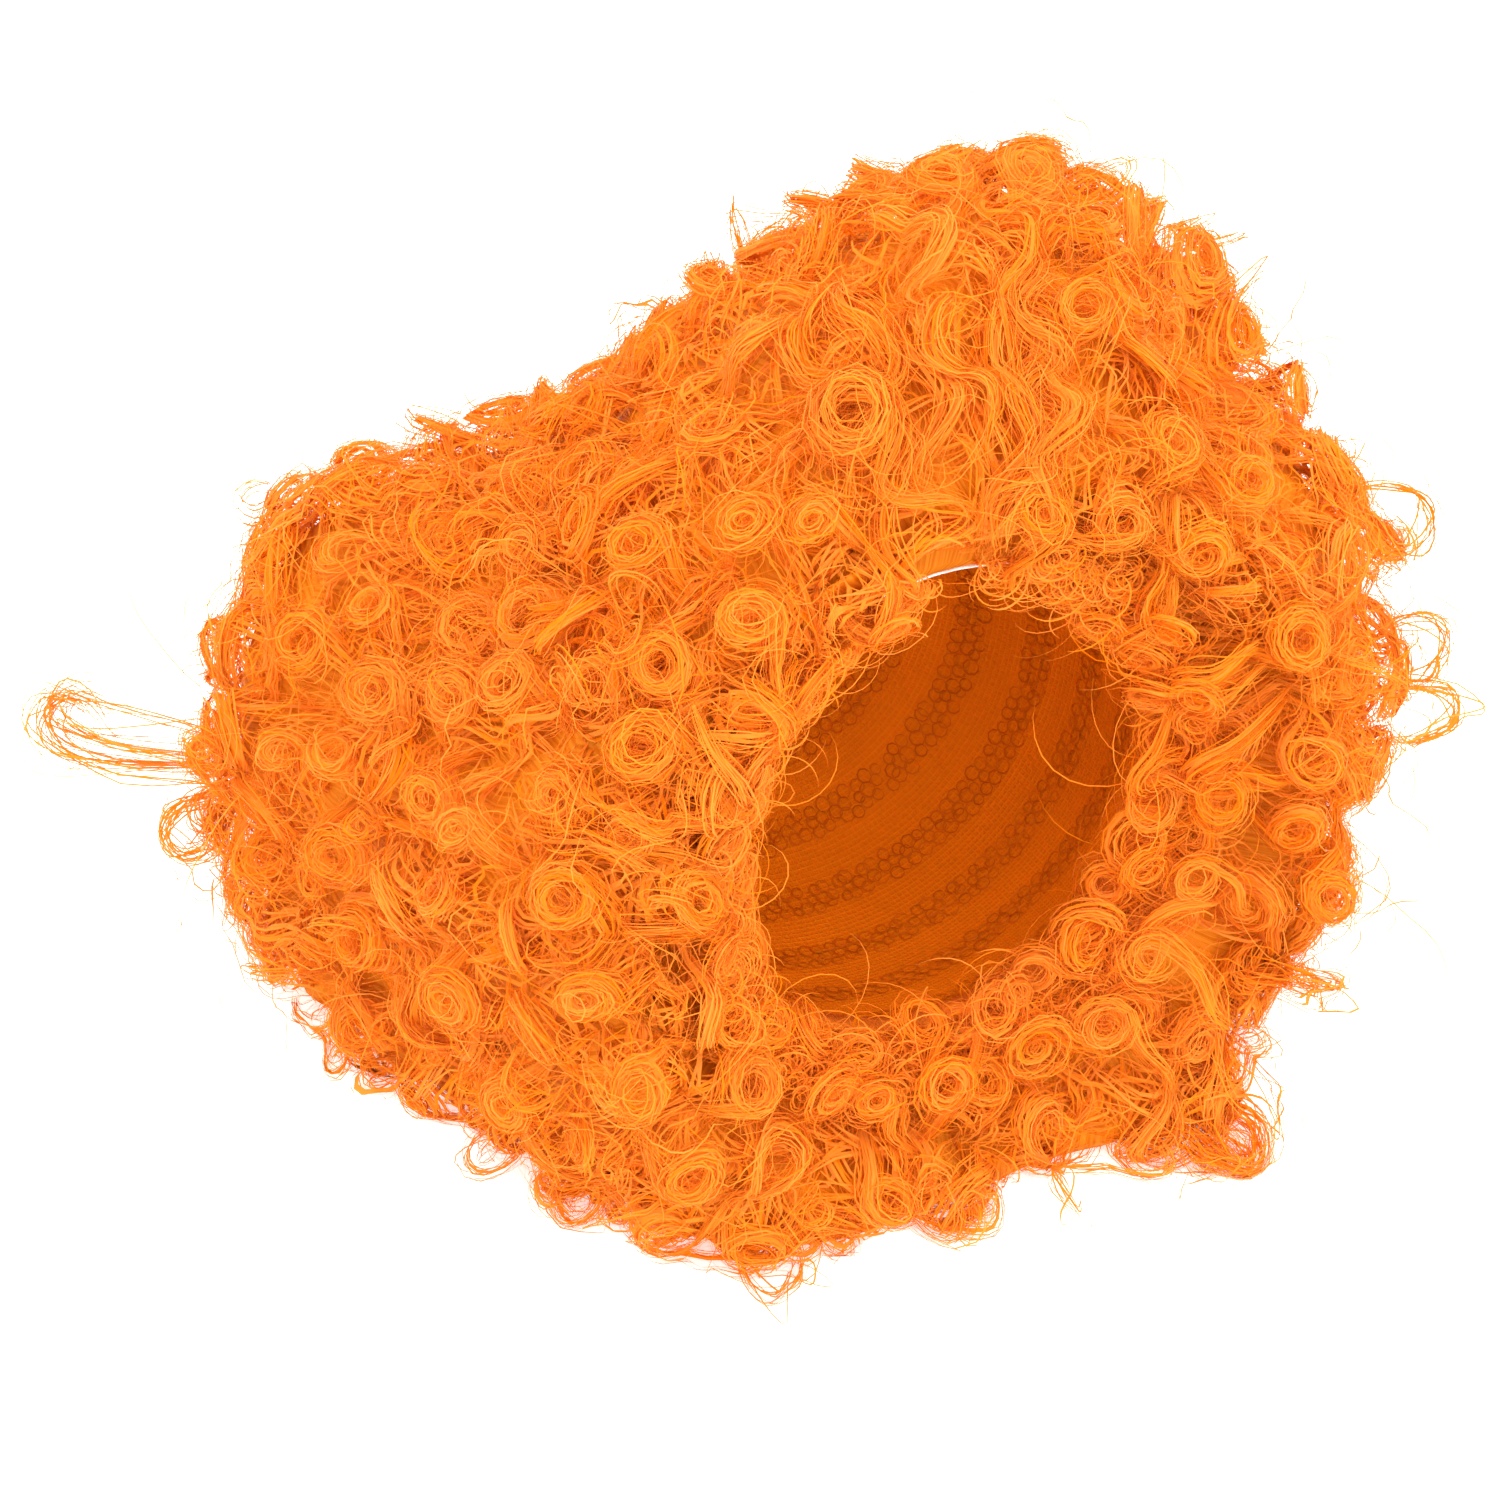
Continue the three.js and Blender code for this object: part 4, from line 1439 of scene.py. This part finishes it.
def ribbons(batch):
    """Points, faces and texture places of strands drawn as ribbons, each a few strands wide."""
    kept = ~hides_band(batch[0])
    paths, facing, width, tone, roll = (values[kept] for values in batch)
    count, points = paths.shape[:2]
    along = unit(np.gradient(paths, axis=1))
    side = unit(np.cross(along, facing))
    roll = roll[:, None, None]
    side = side * np.cos(roll) + np.cross(along, side) * np.sin(roll)
    t = np.linspace(0, 1, points)
    taper = np.clip(np.minimum(t / ROOT_TAPER, (1 - t) / TIP_TAPER), THINNEST, 1)
    half = (width[:, None] * taper)[..., None] / 2
    both = np.stack([paths - side * half, paths + side * half], 2).reshape(-1, 3)
    start = (np.arange(count) * points * 2)[:, None] + np.arange(points - 1) * 2
    faces = np.stack([start, start + 1, start + 3, start + 2], -1).reshape(-1, 4)
    half_u = width / STRAND_MM / STRAND_LINES / 2
    u = np.clip(np.stack([tone - half_u, tone + half_u], -1), 0, 1)[:, None, :]
    v = (STRAND_V[0] + STRAND_V[1] * np.clip(t / STRAND_ROOT, 0, 1))[None, :, None]
    shape = (count, points, 2)
    uv = np.stack([np.broadcast_to(u, shape), np.broadcast_to(v, shape)], -1).reshape(-1, 2)
    return both, faces, uv


def shaped(points, dome_sink):
    """Hair with each curl domed, and with the local swells of the reach."""
    result = points.copy()
    for part in np.array_split(np.arange(len(points)), len(points) // SHAPED_AT_ONCE + 1):
        here = points[part]
        gap = np.sum(here ** 2, 1)[:, None] + np.sum(dome_middle ** 2, 1) - 2 * here @ dome_middle.T
        nearest = np.argmin(gap, 1)
        weight = np.exp((gap.min(1, keepdims=True) - gap) / (2 * DOME_BLEND ** 2))
        out = unit(weight @ dome_out)
        step = here - dome_middle[nearest]
        high = np.sum(step * out, 1)
        aside = np.sqrt(np.maximum(np.sum(step ** 2, 1) - high ** 2, 0))
        slope = np.clip((aside - DOME_FLAT) / (DOME_EDGE - DOME_FLAT), 0, 1)
        move = -dome_sink * slope ** 2
        for place, angle, radius, rise in SWELLS:
            middle = reach(place, math.radians(angle))
            move += rise * np.exp(-np.sum((here - middle) ** 2, 1) / (2 * radius ** 2))
        far = np.sqrt(high ** 2 + aside ** 2)
        move *= np.clip((DOME_NEAR - far) / DOME_FADE, 0, 1)
        result[part] = here + out * move[:, None]
    return result


def packed_mass(track, reach_end, track_start, reach_start):
    """The dense hair of one weft between the cap and the curls, as a closed lumpy ring."""
    angle = np.arange(MASS_AROUND) * TURN / MASS_AROUND
    rings = []
    for place in np.linspace(reach_end, max(reach_start, MASS_FIRST), MASS_RINGS):
        inside = min(place, HAIR_END - 0.05)
        out = hair_axes(np.full(MASS_AROUND, inside), angle)[0]
        point = reach(inside, angle)
        x, y, z = point.T
        lump = np.sin(x / MASS_LUMP_MM) * np.sin(y / (MASS_LUMP_MM + 1) + 1) * np.sin(z / MASS_LUMP_MM + 2)
        near_floor = np.clip(1 - to_part(point)[:, 2] / MASS_LOW, 0, 1)
        sink = MASS_SINK - MASS_LUMP * lump - MASS_RISE * near_floor
        rings.append(point - out * sink[:, None])
    if reach_start == 0:
        rings.append(reach(0.02, angle) * (1, 1, 0) + (0, 0, LIP_FRONT))
        throat = cap_point(0, angle, CAP_GAP)
        throat[:, 2] = THROAT_FRONT
        rings.append(throat)
    for place in np.linspace(track_start, track, MASS_SEWN):
        rings.append(cap_point(min(place, CAP_CROWN - 0.02), angle, CAP_GAP))
    rings.append(rings[0])
    count = len(rings)
    fold = np.abs(np.arange(MASS_AROUND) % (2 * MASS_FOLD) - MASS_FOLD) / MASS_FOLD
    bent = MASS_BEND * np.sin(4 * angle + 1.9 * np.arange(count)[:, None])
    u = (MASS_U[0] + MASS_U[1] * fold + bent).ravel()
    # A low v keeps the mass at the deep orange of painted shade
    v = np.repeat(np.linspace(*MASS_V, count), MASS_AROUND)
    return np.concatenate(rings), ring_faces(count, MASS_AROUND), np.stack([u, v], -1)


def joined(groups):
    """One mesh from several: points, faces and texture places."""
    starts = np.cumsum([0] + [len(points) for points, _, _ in groups])
    points, faces, uv = zip(*groups)
    faces = [part + start for part, start in zip(faces, starts)]
    return np.concatenate(points), np.concatenate(faces), np.concatenate(uv)


def make_hair(fibre):
    """The fringe over the rim, then each weft: its dense hair and its strands."""
    mesh_piece(FRINGE, *joined([ribbons(batch) for batch in strands_of[FRINGE]]), fibre, "hair")
    track_start = 0
    reach_start = 0
    for name, track, reach_end in WEFTS:
        mass = packed_mass(track, reach_end, track_start, reach_start)
        strands = joined([ribbons(batch) for batch in strands_of[name]])
        groups = [(shaped(mass[0], 0), *mass[1:]), (shaped(strands[0], DOME_SINK), *strands[1:])]
        piece = mesh_piece(name + "_hair", *joined(groups), fibre, "hair")
        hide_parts(name)
        track_start = track
        reach_start = reach_end


def make_cap(net):
    """The net cap: a thin bowl with its wall."""
    angle = np.arange(CAP_AROUND) * TURN / CAP_AROUND
    places = np.linspace(CAP_CROWN - 0.01, 0, CAP_RINGS)
    rings = [cap_point(place, angle, 0) for place in places]
    rings += [cap_point(place, angle, -CAP_WALL) for place in places[::-1]]
    uv = ring_uv(np.concatenate([places, places[::-1]]) / CAP_CROWN, CAP_AROUND)
    faces = ring_faces(2 * CAP_RINGS, CAP_AROUND)
    cap = mesh_piece("net_cap", np.concatenate(rings), faces, uv, net, "net")
    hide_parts("cap")


def make_stitches(stitch):
    """Loops of thread inside the cap, in lacy rows along each sewn track."""
    batches = []
    turn = np.linspace(0, TURN, LOOP_STEPS + 1)
    for track in TRACK_FIRST + TRACK_APART * np.arange(TRACKS):
        radius = float(row_at(CAP_ROWS, np.array(track))[1])
        count = int(TURN * radius / LOOP_APART)
        for row in range(TRACK_ROWS):
            middle = (np.arange(count) + rng.uniform(*LOOP_ASIDE, count) + 0.5 * row) * TURN / count
            size = LOOP_RADIUS * rng.uniform(*LOOP_SIZE, (count, 1))
            slip = (row - 1) * ROW_APART + rng.uniform(*LOOP_SLIP, (count, 1))
            angles = middle[:, None] + size * np.cos(turn) / radius
            places = track + (size * np.sin(turn) + slip) / CAP_ROW_MM
            inside = -CAP_WALL - rng.uniform(*LOOP_INSIDE, (count, 1))
            paths = cap_point(places, angles, inside)
            facing = -unit(paths * (1, 1, 0))
            width = np.full(count, THREAD_WIDTH)
            tone = rng.uniform(*THREAD_TONE, count)
            batches.append((paths, facing, width, tone, rng.uniform(*THREAD_ROLL, count)))
    batch = tuple(np.concatenate(values) for values in zip(*batches))
    mesh_piece("weft_tracks", *ribbons(batch), stitch, "net")


def make_band(tape):
    """The elastic tape inside the rim, white where it is bare, with a fine rib along its front edge."""
    outer = -CAP_WALL - CAP_GAP
    inner = outer - BAND_THICK
    edge = BAND_FRONT - TAPE_ROUND
    shade_from = BAND_FRONT - TAPE_SHADE
    # Whiteness 1 is the lit tape; lower values give painted shade and painted orange light from the hair
    profile = [  # along the axis, offset from the cap, whiteness
        (BAND_BACK, inner, 0.1), (BAND_BACK, outer, 0.1), (shade_from, outer, 0.2), (edge, outer, 1.0),
        (BAND_FRONT, outer - TAPE_ROUND, 1.0), (BAND_FRONT, inner + TAPE_ROUND, 1.0),
        (edge, inner, 1.0), (shade_from, inner, 0.2), (BAND_BACK, inner, 0.1),
    ]
    angle = np.arange(BAND_AROUND) * TURN / BAND_AROUND
    rings = []
    for along, offset, _ in profile[:-1]:
        ring = cap_point(0, angle, offset)
        ring[:, 2] = along + TAPE_RIPPLE * np.sin(angle * TAPE_RIPPLES) * (along == BAND_FRONT)
        rings.append(ring)
    points = np.concatenate(rings)
    faces = ring_faces(len(profile), BAND_AROUND) % len(points)
    uv = ring_uv([white for _, _, white in profile], BAND_AROUND)
    # Away from where the hair parts, the whole tape takes the painted shade
    from_bare = angle_between(uv[:, 0] * TURN, BARE_MIDDLE)
    uv[:, 1] *= np.clip((BARE_HALF - from_bare) / BARE_FADE, 0, 1)
    band = mesh_piece("elastic_band", points, faces, uv, tape, "elastic")
    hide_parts("rim_band")


# The wig's pieces, each with its material
make_hair(curled_fibre())
make_cap(knitted_net())
make_stitches(weft_stitching())
make_band(woven_elastic())

# Floor, light and camera
bpy.ops.mesh.primitive_plane_add(size=FLOOR_SIDE, location=(0, 0, 0))
floor = bpy.context.object
floor.name = "paper_floor"
floor.data.materials.append(white_paper())

scene = bpy.context.scene
scene.view_settings.view_transform = "Standard"
scene.cycles.max_bounces = MOST_BOUNCES
scene.cycles.diffuse_bounces = DIFFUSE_BOUNCES
scene.cycles.transmission_bounces = TRANSMISSION_BOUNCES
scene.world = bpy.data.worlds.new("studio")
scene.world.use_nodes = True
studio = scene.world.node_tree.nodes["Background"]
studio.inputs["Color"].default_value = WHITE
studio.inputs["Strength"].default_value = STUDIO_LIGHT

half_side = PHOTO_SIDE / 2
aim = Vector(RIM) + (right * (half_side - RIM_PIXEL[0]) + up * (RIM_PIXEL[1] - half_side)) * PHOTO_MM
camera = bpy.data.objects.new("camera", bpy.data.cameras.new("camera"))
scene.collection.objects.link(camera)
camera.location = (aim + back * VIEW_FAR) * MM
camera.rotation_mode = "QUATERNION"
camera.rotation_quaternion = (-back).to_track_quat("-Z", "Y")
camera.data.sensor_width = SENSOR
camera.data.lens = SENSOR * VIEW_FAR / (PHOTO_SIDE * PHOTO_MM)
scene.camera = camera

key = bpy.data.objects.new("key_light", bpy.data.lights.new("key_light", "AREA"))
scene.collection.objects.link(key)
key.data.size = KEY_SIZE
key.data.energy = KEY_POWER
key.location = aim * MM + (back * KEY_BACK + up * KEY_UP + right * KEY_RIGHT)
key.rotation_mode = "QUATERNION"
key.rotation_quaternion = (aim * MM - key.location).to_track_quat("-Z", "Y")
